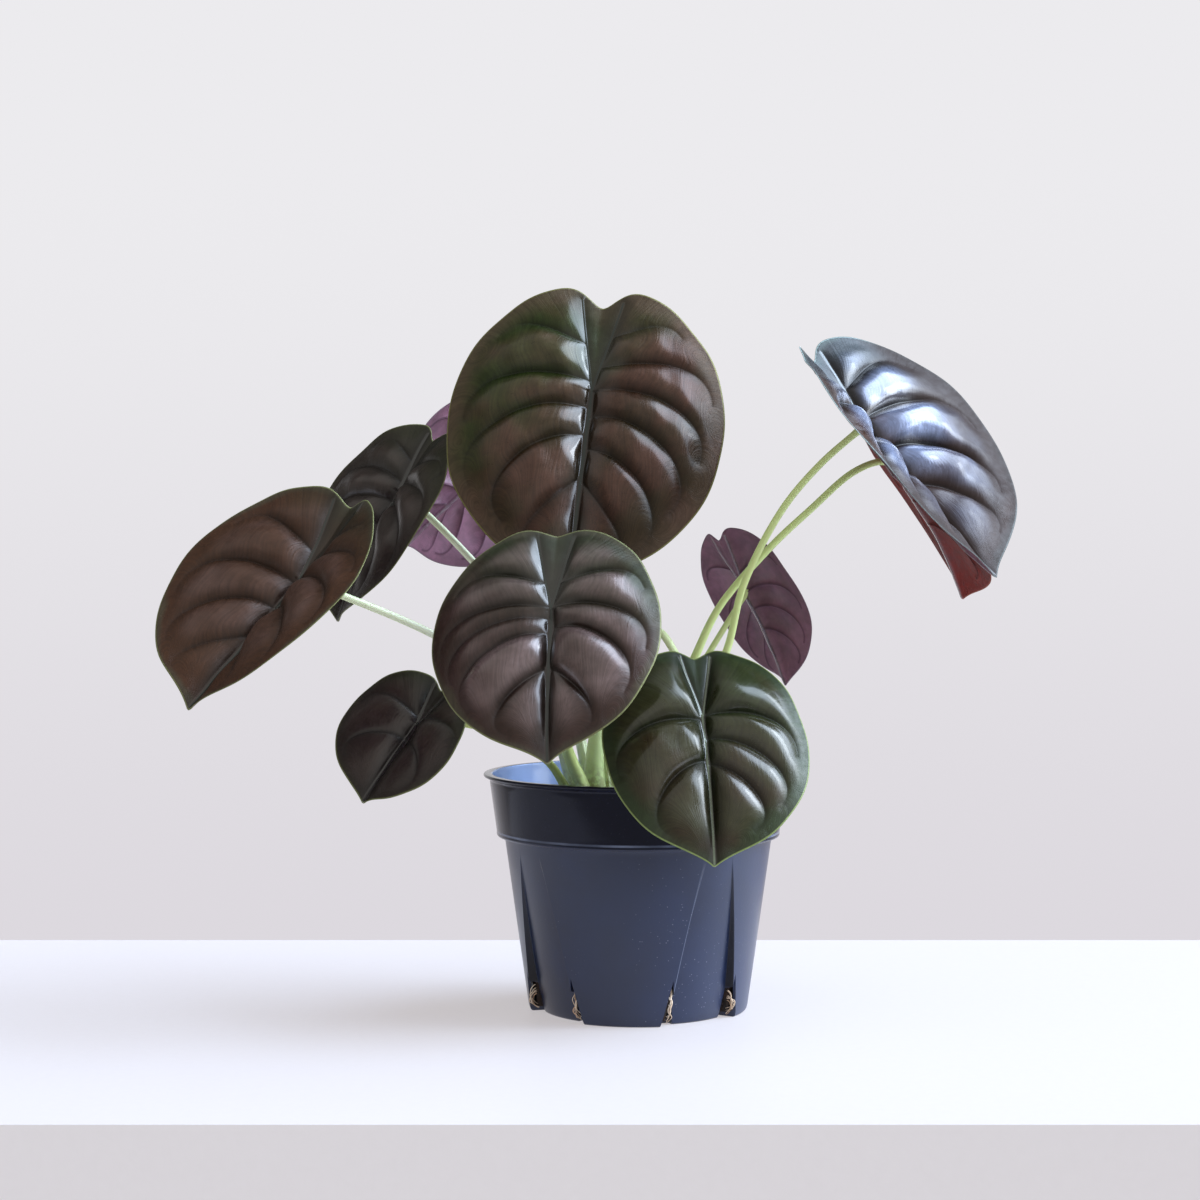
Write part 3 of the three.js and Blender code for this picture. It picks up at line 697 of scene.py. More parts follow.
# Each effect runs over the first two numbers of its reading, and changes from the third to the
# fourth (from 0 to 1 where there are none)
leafSpans = {
    "clouds": (0.38, 0.62), "greenPatch": (0.3, 0.6, 0.5, 1.0), "crestPuff": (0.2, 1.0),
    "crestPatch": (0.3, 0.7, 0.9, 0.3), "crestWarm": (0.0, 1.0, 0.8, 0.1),
    "veinFade": (2.0, 14.0, 0.3, 1.0), "veinLine": (0.0, 1.4, 0.2, 0.0), "veinShadeHalo": (0.0, 5.5, 0.35, 0.0),
    "ribShadeHalo": (0.0, 7.0, 0.45, 0.0), "ribCord": (0.1, 0.5, 0.9, 0.0),
    "silk": (0.3, 0.7, 0.84, 1.16), "speckle": (0.3, 0.7, -0.08, 0.08),
    "underVein": (0.0, 0.9, 0.75, 0.0), "underPatch": (0.35, 0.65, 0.72, 1.15),
    "underSpeckle": (0.3, 0.7, 0.88, 1.12), "underSide": (0.6, 0.9), "underLift": (0.5, 0.8, 1.05, 1.1),
    "margin": (0.0, 0.45, 0.85, 0.0), "topSide": (0.5, 0.8, 1.0, 0.0),
    "farSide": (-41.0, -24.0, 1.0, 0.0), "farTip": (14.0, 44.0, 0.0, 0.85),
    "veinRough": (0.0, 0.9, 0.3, 0.0), "ribSmooth": (0.4, 1.0), "ribShine": (0.4, 1.2, 0.6, 1.0),
    "rimRough": (0.0, 16.0, 0.14, 0.0), "warmRough": (0.0, 1.0, 0.0, 0.1),
    "coatHub": (5.0, 14.0), "coatWarm": (0.0, 1.0, 1.0, 0.1), "coatRim": (3.0, 18.0, 0.3, 1.0),
    "coatRib": (1.0, 9.0), "coatCord": (0.5, 1.2, 1.0, 0.0),
}
leafFinishing = {
    "wide": (0.045, 3), "fine": (0.4, 2), "silk": (1.0, 3, 0.6), "silkStretch": (0.8, 0.7, 1), "strip": 0.4,
    "rimSway": (10.0, -5.0), "rimShare": 0.6, "underMatt": 0.22, "dullRough": 0.2,
    "glossFrom": (0.3, 0.7), "glossSway": (-0.05, 0.06), "coatPuff": (0.0, 0.9), "coatLow": 0.3,
    "silkBump": 0.8, "fineBump": 0.2, "bump": (0.5, 0.4),
}


def leafFinish(name, changes):
    look, rule = {**sharedLook, **changes}, leafFinishing
    material, tree, shader = newMaterial(name)
    labels = ("veinGap", "ribGap", "rimGap", "puff", "under", "warm", "lobe", "strip")
    veinGap, ribGap, rimGap, puff, under, warm, lobe, stripe = (reading(tree, label) for label in labels)
    grainPlace, bladePlace = reading(tree, "grainPlace", "Vector"), reading(tree, "bladePlace", "Vector")
    x, y, _ = threeWays(tree, bladePlace)
    wide, fine = cloud(tree, bladePlace, *rule["wide"]), cloud(tree, bladePlace, *rule["fine"])
    silk = cloud(tree, stretched(tree, grainPlace, rule["silkStretch"]), *rule["silk"])
    over = namedSpans(tree, leafSpans)

    # the upper side: clouds, green lobes, the puffs' paler tone with painted sheen on it, rim, dark veins
    # with painted shade beside them, and the rib's cord
    # puff tops: their own paler tone, with a painted sheen laid over it (a painted reflection on the silver
    # leaf)
    crestToneAndSheen = times(tree, over(puff, "crestPuff"), over(wide, "crestPatch"))
    rimSpot = plus(tree, rimGap, calc(tree, "MULTIPLY_ADD", wide, *rule["rimSway"]))
    veinFade = over(rimGap, "veinFade")
    # the dark band along each vein is partly the vein's own green and partly painted shade in its crease;
    # the broad dark band beside the midrib is painted shade in its valley
    veinShade = plus(tree, over(veinGap, "veinLine"), over(veinGap, "veinShadeHalo"))
    veinShade = times(tree, veinShade, look["veinShadeDepth"])
    colour = layered(
        tree, look, look["body"],
        (over(wide, "clouds"), "cloud"),
        (warm, "warm"),
        (times(tree, lobe, over(wide, "greenPatch")), "lobe"),
        (times(tree, crestToneAndSheen, over(warm, "crestWarm")), "crestToneAndSheen"),
        (times(tree, stripe, rule["strip"]), "strip"),
        (span(tree, rimSpot, 0.0, look["rimWidth"], rule["rimShare"], 0.0), "rim"),
        (times(tree, veinShade, veinFade), "vein"),
        (over(ribGap, "ribShadeHalo"), "vein"),
        (over(ribGap, "ribCord"), "rib"))
    colour = shaded(tree, colour, plus(tree, over(silk, "silk"), over(fine, "speckle")))

    # the underside, then the pale margin (partly painted rim light) and the far parts of the silver leaf,
    # painted back to the body colour as painted shade and made duller
    below = blend(tree, over(veinGap, "underVein"), look["under"], look["underVein"])
    below = shaded(tree, below, over(wide, "underPatch"))
    below = shaded(tree, below, over(fine, "underSpeckle"))
    colour = blend(tree, over(under, "underSide"), colour, below)
    # a pale line along the edge: partly the blade's own pale margin, partly painted rim light
    colour = blend(tree, over(rimGap, "margin"), colour, look["margin"])
    colour = shaded(tree, colour, over(under, "underLift"))
    # the silver leaf's far side and tip: painted darker as painted shade where the blade faces dark
    # surroundings, and made rougher and less coated
    shadeAndDull = times(tree, calc(tree, "MAXIMUM", over(x, "farSide"), over(y, "farTip")), look["farShadeAndDull"])
    topSide = over(under, "topSide")
    colour = blend(tree, times(tree, shadeAndDull, topSide), colour, look["body"])

    # matt under the leaf, along veins and at the rim; the rib's cord shines
    veinMatt = times(tree, over(veinGap, "veinRough"), veinFade)
    matt = plus(tree, times(tree, under, rule["underMatt"]), veinMatt)
    matt = times(tree, matt, over(ribGap, "ribSmooth"))
    low, high = (look["gloss"] + sway for sway in rule["glossSway"])
    rough = plus(tree, span(tree, fine, *rule["glossFrom"], low, high), matt)
    rough = times(tree, rough, over(ribGap, "ribShine"))
    rough = plus(tree, rough, times(tree, shadeAndDull, rule["dullRough"]))
    for value, effect in ((rimGap, "rimRough"), (warm, "warmRough")):
        rough = plus(tree, rough, over(value, effect))

    # the wet shine sits on the puffs and round the hub
    coat = span(tree, puff, *rule["coatPuff"], look["coat"] * rule["coatLow"], look["coat"])
    coat = calc(tree, "MAXIMUM", coat, span(tree, ribGap, *leafSpans["coatHub"], look["hub"], 0.0))
    for value, effect in ((warm, "coatWarm"), (rimGap, "coatRim")):
        coat = times(tree, coat, over(value, effect))
    coat = times(tree, coat, span(tree, ribGap, *leafSpans["coatRib"], 1 - look["ribDull"], 1.0))
    coat = times(tree, coat, calc(tree, "SUBTRACT", 1.0, shadeAndDull))
    feed(tree, shader.inputs["Coat Weight"], calc(tree, "MAXIMUM", coat, over(ribGap, "coatCord")))
    shader.inputs["Coat Roughness"].default_value = look["haze"]
    shader.inputs["Specular IOR Level"].default_value = look["specular"]
    feed(tree, shader.inputs["Metallic"], times(tree, topSide, look["metal"]))
    height = plus(tree, times(tree, silk, rule["silkBump"]), times(tree, fine, rule["fineBump"]))
    finish(tree, shader, colour, rough, height, *rule["bump"])
    return material


print("leaves")
leafFinishes = {name: leafFinish(name, look) for name, look in leafLooks.items()}
for leafName, leafShape in leafShapes.items():
    makeLeaf(leafName, {**plainLeaf, **leafShape}, leafFinishes[leafShape["look"]])


# Stems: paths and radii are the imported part's own. A path starts on the crown and ends at the hub.

stemShapes = {
    "top": {"foot": 5, "top": 2.3, "open": 200, "tone": 0.35, "path": (
        (-16, -1), (-17, -0.5, 90), (-15.8, 0, 112), (-14, 6, 160), (-15, 7, 205))},
    "center": {"foot": 3.2, "top": 2.0, "open": 160, "tone": 0.8, "path": (
        (-19, -9.5), (-22, -12, 88), (-27, -17, 101), (-33, -34, 130), (-33, -54, 150))},
    "front": {"foot": 3.2, "top": 1.8, "open": 150, "tone": 0.3, "path": (
        (-9, -8.5), (-4, -13, 105), (2, -20, 132), (7, -30, 147), (14, -42, 138))},
    "left": {"foot": 2.8, "top": 1.8, "open": 100, "tone": 0.1, "path": (
        (-23.5, 4.2), (-32, 0, 106), (-52, -9, 129), (-78.5, -20, 146), (-111, -28, 160.5))},
    "left_rear": {"foot": 3, "top": 1.8, "open": 60, "tone": 0.1, "path": (
        (-16.5, 8.5), (-27, 11, 118), (-43, 12, 148), (-63, 12, 171.5), (-81.5, 13, 190.5))},
    "rear": {"foot": 3, "top": 1.7, "open": 30, "tone": 0.3, "path": (
        (-9.5, 11.5), (-17, 24, 125), (-31, 36, 170), (-46, 44, 200))},
    "small": {"foot": 2.6, "top": 1.5, "open": 110, "tone": 1.0, "path": (
        (-24.5, -3.5), (-29, -8, 88), (-35, -12, 97), (-52, -18, 107.5), (-68, -22, 112))},
    "right": {"foot": 3.4, "top": 1.7, "open": -120, "tone": 0.5, "path": (
        (0, -6.5), (21, -6, 112), (34, -5.5, 139), (40.5, -7, 164.5), (55, -8, 193), (69.5, -9, 210.5))},
    "right_under": {"foot": 3.8, "top": 1.7, "open": -60, "tone": 0.5, "path": (
        (1, 2), (13, 2, 114), (22.4, 0.5, 137), (31.5, 2, 155.5), (51, 2, 178.5), (67, 3, 193.5),
        (84, 9, 208), (98, 21, 212.5))},
    "right_rear": {"foot": 2.8, "top": 1.5, "open": -30, "tone": 0.4, "path": (
        (-2.5, 9), (8, 14, 105), (23, 21, 128), (35, 27, 147))},
}
stemShape = {
    "step": 0.8, "sides": 26, "firstHeight": 76.8, "sheathShare": 0.18, "taper": 1.25,
    "slim": 0.76, "slimFrom": (0.15, 0.45), "flare": 0.3, "flareReach": 4,
    "channel": (0.12, 0.34), "lipAt": 0.8, "lipWidth": 0.24, "lip": 0.16, "dipWidth": 0.5, "dip": 0.42,
    "groove": 0.1, "grooveFrom": (0.3, 1.0), "capRings": (0.82, 0.64, 0.46, 0.28, 0.1),
    "seated": 21, "sink": 0.2, "castBack": 12, "castReach": 30,
}


# A smooth curve through points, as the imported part's own
def throughPoints(points, samples=60):
    points = [np.array(p, float) for p in points]
    points = [2 * points[0] - points[1], *points, 2 * points[-1] - points[-2]]
    found = []
    for a, b, c, d in zip(points, points[1:], points[2:], points[3:]):
        first, second, third = (max(np.sum((q - p) ** 2) ** 0.25, 1e-4) for p, q in ((a, b), (b, c), (c, d)))
        leave = ((b - a) / first - (c - a) / (first + second) + (c - b) / second) * second
        arrive = ((c - b) / second - (d - b) / (second + third) + (d - c) / third) * second
        t = np.linspace(0, 1, samples, endpoint=False)[:, None]
        found.append(b + leave * t + (-3 * b + 3 * c - 2 * leave - arrive) * t ** 2
                     + (2 * b - 2 * c + leave + arrive) * t ** 3)
    found.append(points[-2][None])
    return np.vstack(found)


# Rings of points round a line, each turned as little as can be from the one before
def tubeRings(line, first, reach, angle):
    headings = np.gradient(line, axis=0)
    headings /= np.linalg.norm(headings, axis=1)[:, None]
    normal = np.array(first, float)
    normals = []
    for heading in headings:
        normal = normal - heading * (normal @ heading)
        normal /= np.linalg.norm(normal)
        normals.append(normal)
    normals = np.array(normals)
    sideways = np.cross(headings, normals)
    return (line[:, None] + normals[:, None] * (reach * np.cos(angle))[:, :, None]
            + sideways[:, None] * (reach * np.sin(angle))[:, :, None])


def hump(angle, middle, width):
    away = (angle - middle + math.pi) % fullTurn - math.pi
    return falloff(away, width)


def makeStem(name, stem, leaf, material):
    s, sides = stemShape, stemShape["sides"]
    path = [(*stem["path"][0], s["firstHeight"]), *stem["path"][1:], leaf["hub"]]
    line = resample(throughPoints(path), s["step"])
    length = np.linalg.norm(np.diff(line, axis=0), axis=1).sum()
    share = np.linspace(0, 1, len(line))
    sheath = np.maximum(1 - share / s["sheathShare"], 0)
    broad = stem["top"] * s["taper"]
    radius = broad + (stem["top"] - broad) * share + (stem["foot"] - broad) * sheath
    radius = radius * (1 - (1 - s["slim"]) * smoothStep(*s["slimFrom"], share))
    radius = radius * (1 + s["flare"] * falloff((1 - share) * length, s["flareReach"]))
    angle = np.linspace(0, fullTurn, sides, endpoint=False)
    channel = 1 - smoothStep(*s["channel"], share)
    groove = s["groove"] * (1 - smoothStep(*s["grooveFrom"], share))
    lips = hump(angle, s["lipAt"], s["lipWidth"]) + hump(angle, -s["lipAt"], s["lipWidth"])
    dip = hump(angle, 0, s["dipWidth"])
    ring = 1 + channel[:, None] * (s["lip"] * lips - s["dip"] * dip) - (groove[:, None] * dip)
    opening = math.radians(stem["open"])
    rings = tubeRings(line, (math.sin(opening), -math.cos(opening), 0), ring * radius[:, None], angle)
    caps = [line[-1] + (rings[-1] - line[-1]) * inward for inward in s["capRings"]]
    points = np.concatenate([rings, caps]).reshape(-1, 3)
    share = np.r_[share, np.ones(len(caps))]
    channel = np.r_[channel, np.zeros(len(caps))]

    # the last stretch is pushed back until it just sinks into the blade's underside
    face = Vector(bladeAxes(leaf)[2])
    seated = int(s["seated"] / s["step"]) + len(caps)
    for index in range((len(share) - seated) * sides, len(points)):
        point = Vector(points[index])
        spot, _, _, _ = undersides[name].ray_cast(point - face * s["castBack"], face, s["castReach"])
        if spot is not None:
            points[index] = point - face * max((point - spot).dot(face) - s["sink"], 0)
    run = np.repeat(share * length, sides)
    attributes = {
        "share": np.repeat(share, sides), "height": run, "tone": np.full(len(points), stem["tone"]),
        "lip": (channel[:, None] * lips).ravel(),
        "stemPlace": np.stack([run, *(np.tile(f(angle), len(share)) for f in (np.cos, np.sin))], axis=1),
    }
    piece = buildMesh(f"stem_{name}", points, ringFaces(len(share), sides), attributes)
    dress(piece, material, f"petiole_{name}")


stemLook = {
    "pale": "#f4fcec", "lime": "#e8ffac", "olive": "#c4d070", "foot": "#cfe89c", "edge": "#746420",
    "line": "#e2fab0", "top": "#eaffac", "streaks": (0.02, 1.5, 1.5), "mottles": (0.25, 1.0, 1.0),
    "scale": 1.6, "sheen": 0.8, "sheenRough": 0.5, "lipShade": 0.4, "bump": (0.15, 0.3),
    "limeTone": (0.0, 0.5), "oliveTone": (0.5, 1.0), "upperPart": (0.6, 1.0, 0.0, 0.5),
    "lowerPart": (0.05, 0.3, 0.5, 0.0), "streakLines": (0.45, 0.75, 0.0, 0.4), "spots": (0.5, 0.8, 0.0, 0.1),
    "base": (4.0, 22.0, 0.75, 0.0), "basePatch": (0.42, 0.6), "rough": (0.3, 0.7, 0.32, 0.46),
}


def stemFinish():
    look = stemLook
    material, tree, shader = newMaterial("petiole")
    share, tone, height, lip = (reading(tree, label) for label in ("share", "tone", "height", "lip"))
    place = reading(tree, "stemPlace", "Vector")
    streak = cloud(tree, stretched(tree, place, look["streaks"]), look["scale"], 2)
    mottle = cloud(tree, stretched(tree, place, look["mottles"]), look["scale"], 3)
    over = namedSpans(tree, look)
    colour = layered(
        tree, look, look["pale"],
        (over(tone, "limeTone"), "lime"),
        (over(tone, "oliveTone"), "olive"),
        (over(share, "upperPart"), "top"),
        (over(share, "lowerPart"), "foot"),
        (over(streak, "streakLines"), "line"),
        (over(mottle, "spots"), "olive"),
        (times(tree, over(height, "base"), over(mottle, "basePatch")), "edge"),
        (times(tree, lip, look["lipShade"]), "edge"))
    shader.inputs["Sheen Weight"].default_value = look["sheen"]
    shader.inputs["Sheen Roughness"].default_value = look["sheenRough"]
    shader.inputs["Sheen Tint"].default_value = paint(look["lime"])
    finish(tree, shader, colour, over(mottle, "rough"), streak, *look["bump"])
    return material


print("stems")
petioleFinish = stemFinish()
for stemName, stemPath in stemShapes.items():
    makeStem(stemName, stemPath, leafShapes[stemName], petioleFinish)


# Nursery pot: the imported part's profile, panels and slits, with finer rounding

pot = {
    "height": 91.5, "rimRadius": 60, "lipDrop": 1.2, "collarTop": 57.7, "collarFoot": 54.9,
    "collarHeight": 22.5, "stepDrop": 2, "bodyTop": 51.8, "footRadius": 42.3, "wall": 1.2, "floor": 1.6,
    "footRound": 1.2, "stepRound": 0.8, "collarRound": 0.9, "lipFillet": 1.0, "mouthRound": 0.6,
    "sharpAngle": 38,
}
panel = {
    "count": 4, "centre": 35.5, "footHalf": 20, "topHalf": 6, "topHeight": 62, "depth": 4.4, "step": 2.5,
    # Of the spans across a step: where it sinks, where its seam is painted dark as painted shadow, and where
    # a painted highlight line runs
    "wallColumns": 12, "faceColumns": 18, "stepEdge": (0.36, 0.64), "stepShadow": (0.35, 0.65), "line": (0.3, 0.7),
    "stepMarks": (0, 0.2, 0.33, 0.38, 0.42, 0.46, 0.5, 0.54, 0.58, 0.62, 0.67, 0.8), "flatRadius": 30,
}
slitShape = {"width": 6, "height": 17.5, "lean": 1.6, "below": 1, "from": 34.0, "to": 47.0}
collarBase = pot["height"] - pot["collarHeight"]
bodyHeight = collarBase - pot["stepDrop"]


def bodyRadius(height):
    return pot["footRadius"] + (pot["bodyTop"] - pot["footRadius"]) * height / bodyHeight


def onWall(height, inset=0.0):
    return (bodyRadius(height) - inset, height)


def arc(centre, radius, start, end, count):
    angles = np.radians(np.linspace(start, end, count))
    return [(centre[0] + radius * math.cos(a), centre[1] + radius * math.sin(a)) for a in angles]


def rise(start, end, count):
    return [(start[0] + (end[0] - start[0]) * t, start[1] + (end[1] - start[1]) * t)
            for t in np.linspace(0, 1, count)]


# Radius and height pairs from the middle of the underside, up the outside and down the inside;
# the last number of each arc or rise is how many points it takes
def potProfile():
    top, wall, base, foot = pot["height"], pot["wall"], pot["floor"], pot["footRound"]
    neck, collar, body = pot["collarTop"], pot["collarFoot"], pot["bodyTop"]
    step, bead, fillet, mouth = pot["stepRound"], pot["collarRound"], pot["lipFillet"], pot["mouthRound"]
    lip = pot["lipDrop"] / 2
    outside = [(radius, 0) for radius in (0, 12, 24, 34, 38.5)]
    outside += arc((pot["footRadius"] - foot, foot), foot, -90, -8, 6)
    outside += rise(onWall(2), onWall(bodyHeight - step), 44)
    outside += arc((body + step, bodyHeight - step / 2), step, 172, 96, 5)
    outside += arc((collar - bead, collarBase - 0.75), bead, -92, 8, 8)
    outside += rise((collar + 0.05, collarBase + 0.6), (neck - 0.15, top - 3.4), 14)
    outside += arc((neck + 0.85, top - 2.9), fillet, 182, 110, 5)
    outside += arc((pot["rimRadius"] - lip, top - lip), lip, -80, 90, 8)
    inside = arc((neck - wall + mouth, top - mouth), mouth, 95, 180, 5)
    inside += rise((neck - wall - 0.1, top - 1.8), (collar - wall, collarBase + wall), 12)
    inside += rise((collar - wall - 0.5, collarBase + 0.6), (body - wall, bodyHeight), 4)
    inside += rise(onWall(bodyHeight - 2, wall), onWall(4, wall), 34)
    inside += [(pot["footRadius"] - wall - 0.4, base + 0.5)] + [(radius, base) for radius in (38, 24, 12, 0)]
    return outside + inside


def panelColumns():
    plain = np.linspace(0, 1, panel["wallColumns"] + 1)[:-1]
    face = np.linspace(0, 1, panel["faceColumns"] + 1)[:-1]
    zones = (("wallBefore", plain), ("stepIn", panel["stepMarks"]), ("face", face),
             ("stepOut", panel["stepMarks"]), ("wallAfter", plain))
    return [(side, zone, t) for side in range(panel["count"]) for zone, marks in zones for t in marks]


def panelTurn(side, angle):
    return panel["centre"] + 360 / panel["count"] * side + angle


def columnPlace(column, height, ease=0.0):
    side, zone, t = column
    share = min(max(height, 0) / panel["topHeight"], 1)
    half = panel["footHalf"] + (panel["topHalf"] - panel["footHalf"]) * share + ease
    outer = half + panel["step"]
    reach = 180 / panel["count"]
    angle, sunken = {
        "wallBefore": (-reach + (reach - outer) * t, 0),
        "stepIn": (-outer + (outer - half) * t, t),
        "face": (-half + 2 * half * t, 1),
        "stepOut": (half + (outer - half) * t, 1 - t),
        "wallAfter": (outer + (reach - outer) * t, 0),
    }[zone]
    return math.radians(panelTurn(side, angle)), float(smoothStep(*panel["stepEdge"], sunken))


# Above zero for a panel's step, whose seam is painted dark as painted shadow; below zero for the painted
# highlight line beside it
def stepShade(column, radius, height):
    _, zone, t = column
    strength = max(1 - height / panel["topHeight"], 0) ** 0.5
    (shadowFrom, shadowTo), (highlightFrom, highlightTo) = panel["stepShadow"], panel["line"]
    if radius < panel["flatRadius"] or zone not in ("stepIn", "stepOut") or not highlightFrom < t < highlightTo:
        return 0.0
    if shadowFrom < t < shadowTo:
        return strength
    return -strength if zone == "stepIn" else 0.0


def pressedPoint(column, radius, height, ease=0.0):
    angle, sunken = columnPlace(column, height, ease)
    fade = max(1 - height / panel["topHeight"], 0) * min(radius / pot["footRadius"], 1)
    pressed = radius - panel["depth"] * sunken * fade
    return (pressed * math.sin(angle), -pressed * math.cos(angle), height)


def slitAngles():
    half = panel["footHalf"] + panel["step"] / 2
    return [(panelTurn(side, hand * half), hand) for side in range(panel["count"]) for hand in (-1, 1)]


def outwardAxes(angle):
    turn = math.radians(angle)
    return np.array([math.sin(turn), -math.cos(turn), 0]), np.array([math.cos(turn), math.sin(turn), 0])


def slitCutters():
    points, faces = [], []
    half, below = slitShape["width"] / 2, -slitShape["below"]
    for angle, hand in slitAngles():
        outward, sideways = outwardAxes(angle)
        corners = ((-half, below), (half, below), (-hand * slitShape["lean"], slitShape["height"]))
        first = len(points)
        for reach in (slitShape["from"], slitShape["to"]):
            for across, height in corners:
                points.append(outward * reach + sideways * across + np.array([0, 0, height]))
        a, b, c, d, e, f = range(first, first + 6)
        faces += [(a, b, c), (f, e, d), (a, d, e, b), (b, e, f, c), (c, f, d, a)]
    return buildMesh("cutters", points, faces)


def weld(mesh):
    work = bmesh.new()
    work.from_mesh(mesh)
    bmesh.ops.remove_doubles(work, verts=work.verts, dist=1e-6)
    bmesh.ops.recalc_face_normals(work, faces=work.faces)
    work.to_mesh(mesh)
    work.free()


def makePot(material):
    profile, columns = potProfile(), panelColumns()
    points = [pressedPoint(column, radius, height) for radius, height in profile for column in columns]
    shade = [stepShade(column, radius, height) for radius, height in profile for column in columns]
    faces = ringFaces(len(profile), len(columns), capped=False)
    body, cutters = buildMesh("pot_body", points, faces, {"shade": shade}), slitCutters()
    for piece in (body, cutters):
        weld(piece.data)
    cut = body.modifiers.new("slits", "BOOLEAN")
    cut.object = cutters
    cut.operation = "DIFFERENCE"
    cut.solver = "EXACT"
    bpy.context.view_layer.update()
    solved = bpy.data.meshes.new_from_object(body.evaluated_get(bpy.context.evaluated_depsgraph_get()))
    for piece in (body, cutters):
        bpy.data.objects.remove(piece)
    solved.name = "pot_wall"
    solved.materials.clear()
    dress(putInScene(bpy.data.objects.new("pot_wall", solved)), material, "nursery_pot")
    solved.set_sharp_from_angle(angle=math.radians(pot["sharpAngle"]))


# Heights and gaps in the spans are metres
potLook = {
    # The light edge colour is for painted highlight lines, and the near-black one for the painted shadow in
    # the panel steps
    "body": "#152342", "edge": "#8490aa", "collar": "#151827", "stepShadow": "#05060a", "dust": "#a3a9b8",
    # the pale blue below is painted light on the inside of the collar
    "paintedInsideLight": "#8aa0cc", "bodyRough": 0.34, "collarRough": 0.12, "coat": 0.4, "coatRough": 0.3,
    "bodySpecular": 0.4, "collarSpecular": 0.2, "dustShare": 0.35, "stepHighlightShare": 0.8, "dustRough": 0.3,
    "stepShadowRough": 0.5, "innerLine": (0.124, 0.0463), "wide": (35, 3), "fine": (900, 3, 0.6),
    "speckScale": 520, "dustyScale": (22, 2), "beadHighlightScale": (60, 2), "bump": (0.15, 0.2),
}
potSpans = {
    "collar": (0.0672, 0.0688), "specks": (0.05, 0.15, 1.0, 0.0), "dusty": (0.44, 0.62),
    "cleanCollar": (0.0, 1.0, 1.0, 0.08), "litInside": (-0.0009, -0.0005, 1.0, 0.0),
    "clouds": (0.3, 0.7, 0.85, 1.15), "roughClouds": (0.3, 0.7, 0.85, 1.2),
    "beadLow": (0.0686, 0.0691), "beadHigh": (0.0694, 0.0699, 1.0, 0.0), "beadHighlightBreaks": (0.35, 0.65, 0.25, 0.7),
}


def potFinish():
    look = potLook
    material, tree, shader = newMaterial("pot_plastic")
    place = objectPlace(tree)
    x, y, height = threeWays(tree, place)
    shade = reading(tree, "shade")
    over = namedSpans(tree, potSpans)
    collar = over(height, "collar")

    def collarOr(bodyValue, collarValue):
        return span(tree, collar, 0.0, 1.0, bodyValue, collarValue)

    wide, fine = cloud(tree, place, *look["wide"]), cloud(tree, place, *look["fine"])
    dusty = over(cloud(tree, place, *look["dustyScale"]), "dusty")
    dust = times(tree, over(cells(tree, place, look["speckScale"]), "specks"), dusty)
    dust = times(tree, dust, over(collar, "cleanCollar"))
    # the inside of the collar is painted pale blue as painted light, where the lit inner wall shows
    away = calc(tree, "SQRT", plus(tree, times(tree, x, x), times(tree, y, y)))
    wallLine = calc(tree, "MULTIPLY_ADD", height, *look["innerLine"])
    litInside = times(tree, over(calc(tree, "SUBTRACT", away, wallLine), "litInside"), collar)
    # a painted highlight: a thin light line along the collar's rounded foot, broken up by a cloud
    bead = times(tree, over(height, "beadLow"), over(height, "beadHigh"))
    bead = times(tree, bead, over(cloud(tree, place, *look["beadHighlightScale"]), "beadHighlightBreaks"))
    colour = layered(tree, look, look["body"], (collar, "collar"), (litInside, "paintedInsideLight"))
    colour = shaded(tree, colour, over(wide, "clouds"))
    colour = layered(
        tree, look, colour,
        (times(tree, dust, look["dustShare"]), "dust"),
        (bead, "edge"),
        # painted shadow in the step seams, and a painted highlight line beside the steps into a panel
        (shade, "stepShadow"),
        (times(tree, shade, -look["stepHighlightShare"]), "edge"))
    rough = times(tree, collarOr(look["bodyRough"], look["collarRough"]), over(wide, "roughClouds"))
    rough = plus(tree, rough, times(tree, dust, look["dustRough"]))
    stepShadowRough = times(tree, calc(tree, "MAXIMUM", shade, 0.0), look["stepShadowRough"])
    rough = calc(tree, "ADD", rough, stepShadowRough, clamp=True)
    feed(tree, shader.inputs["Coat Weight"], collarOr(look["coat"], 0.0))
    feed(tree, shader.inputs["Specular IOR Level"], collarOr(look["bodySpecular"], look["collarSpecular"]))
    shader.inputs["Coat Roughness"].default_value = look["coatRough"]
    finish(tree, shader, colour, rough, fine, *look["bump"])
    return material


print("pot")
makePot(potFinish())


# Potting mix, crown and the fine roots at the slits

mixShape = {
    "top": 74.6, "bottom": 2, "gap": 0.9, "rough": 0.9, "waves": 26, "waveLength": (2.2, 9), "waveShare": 5,
    "rows": 30, "radii": (2, 47.5), "sideRows": 64, "sideFrom": 1.5, "sideTo": 0.5, "sideRadius": 49,
    "ease": 0.6, "sideGrain": (45, 1.3), "sideMiddle": 1.6, "sideRough": 0.011,
    "chunks": 190, "chunkReach": 46, "chunk": (1.2, 3.4), "chunkWide": (0.45, 0.9), "chunkTall": (0.3, 0.6),
    "chunkLift": 0.1, "perlite": 0.12, "chunkTint": (0, 0.8),
    "slitChunks": 16, "slitChunk": (0.5, 1.3), "slitWide": (0.6, 0.9), "slitTall": (0.5, 0.9),
    "slitHeights": (2.5, 19), "slitSpread": 3.6, "slitInset": 1.0, "slitShare": 0.95, "slitTint": (0, 0.9),
    "tint": 0.3, "columnsAt": 70,
}
lumpShape = {"rings": (-60, 0, 60), "sides": 6, "around": 14, "up": 12, "reach": (0.75, 1.15), "tilt": 0.7}
mixLook = {
    "dark": "#140d09", "bark": "#33231a", "chip": "#5a3f2c", "perlite": "#cfc9bd",
    "coarse": (260, 4, 0.65), "fine": (1500, 3, 0.6), "barkPatch": (0.35, 0.65),
    "chips": (0.4, 0.8, 0.0, 0.7), "whites": (0.92, 0.98), "speckle": (0.3, 0.7, 0.7, 1.3),
    "rough": (0.3, 0.7, 0.75, 0.95), "bump": (0.8, 0.8),
}


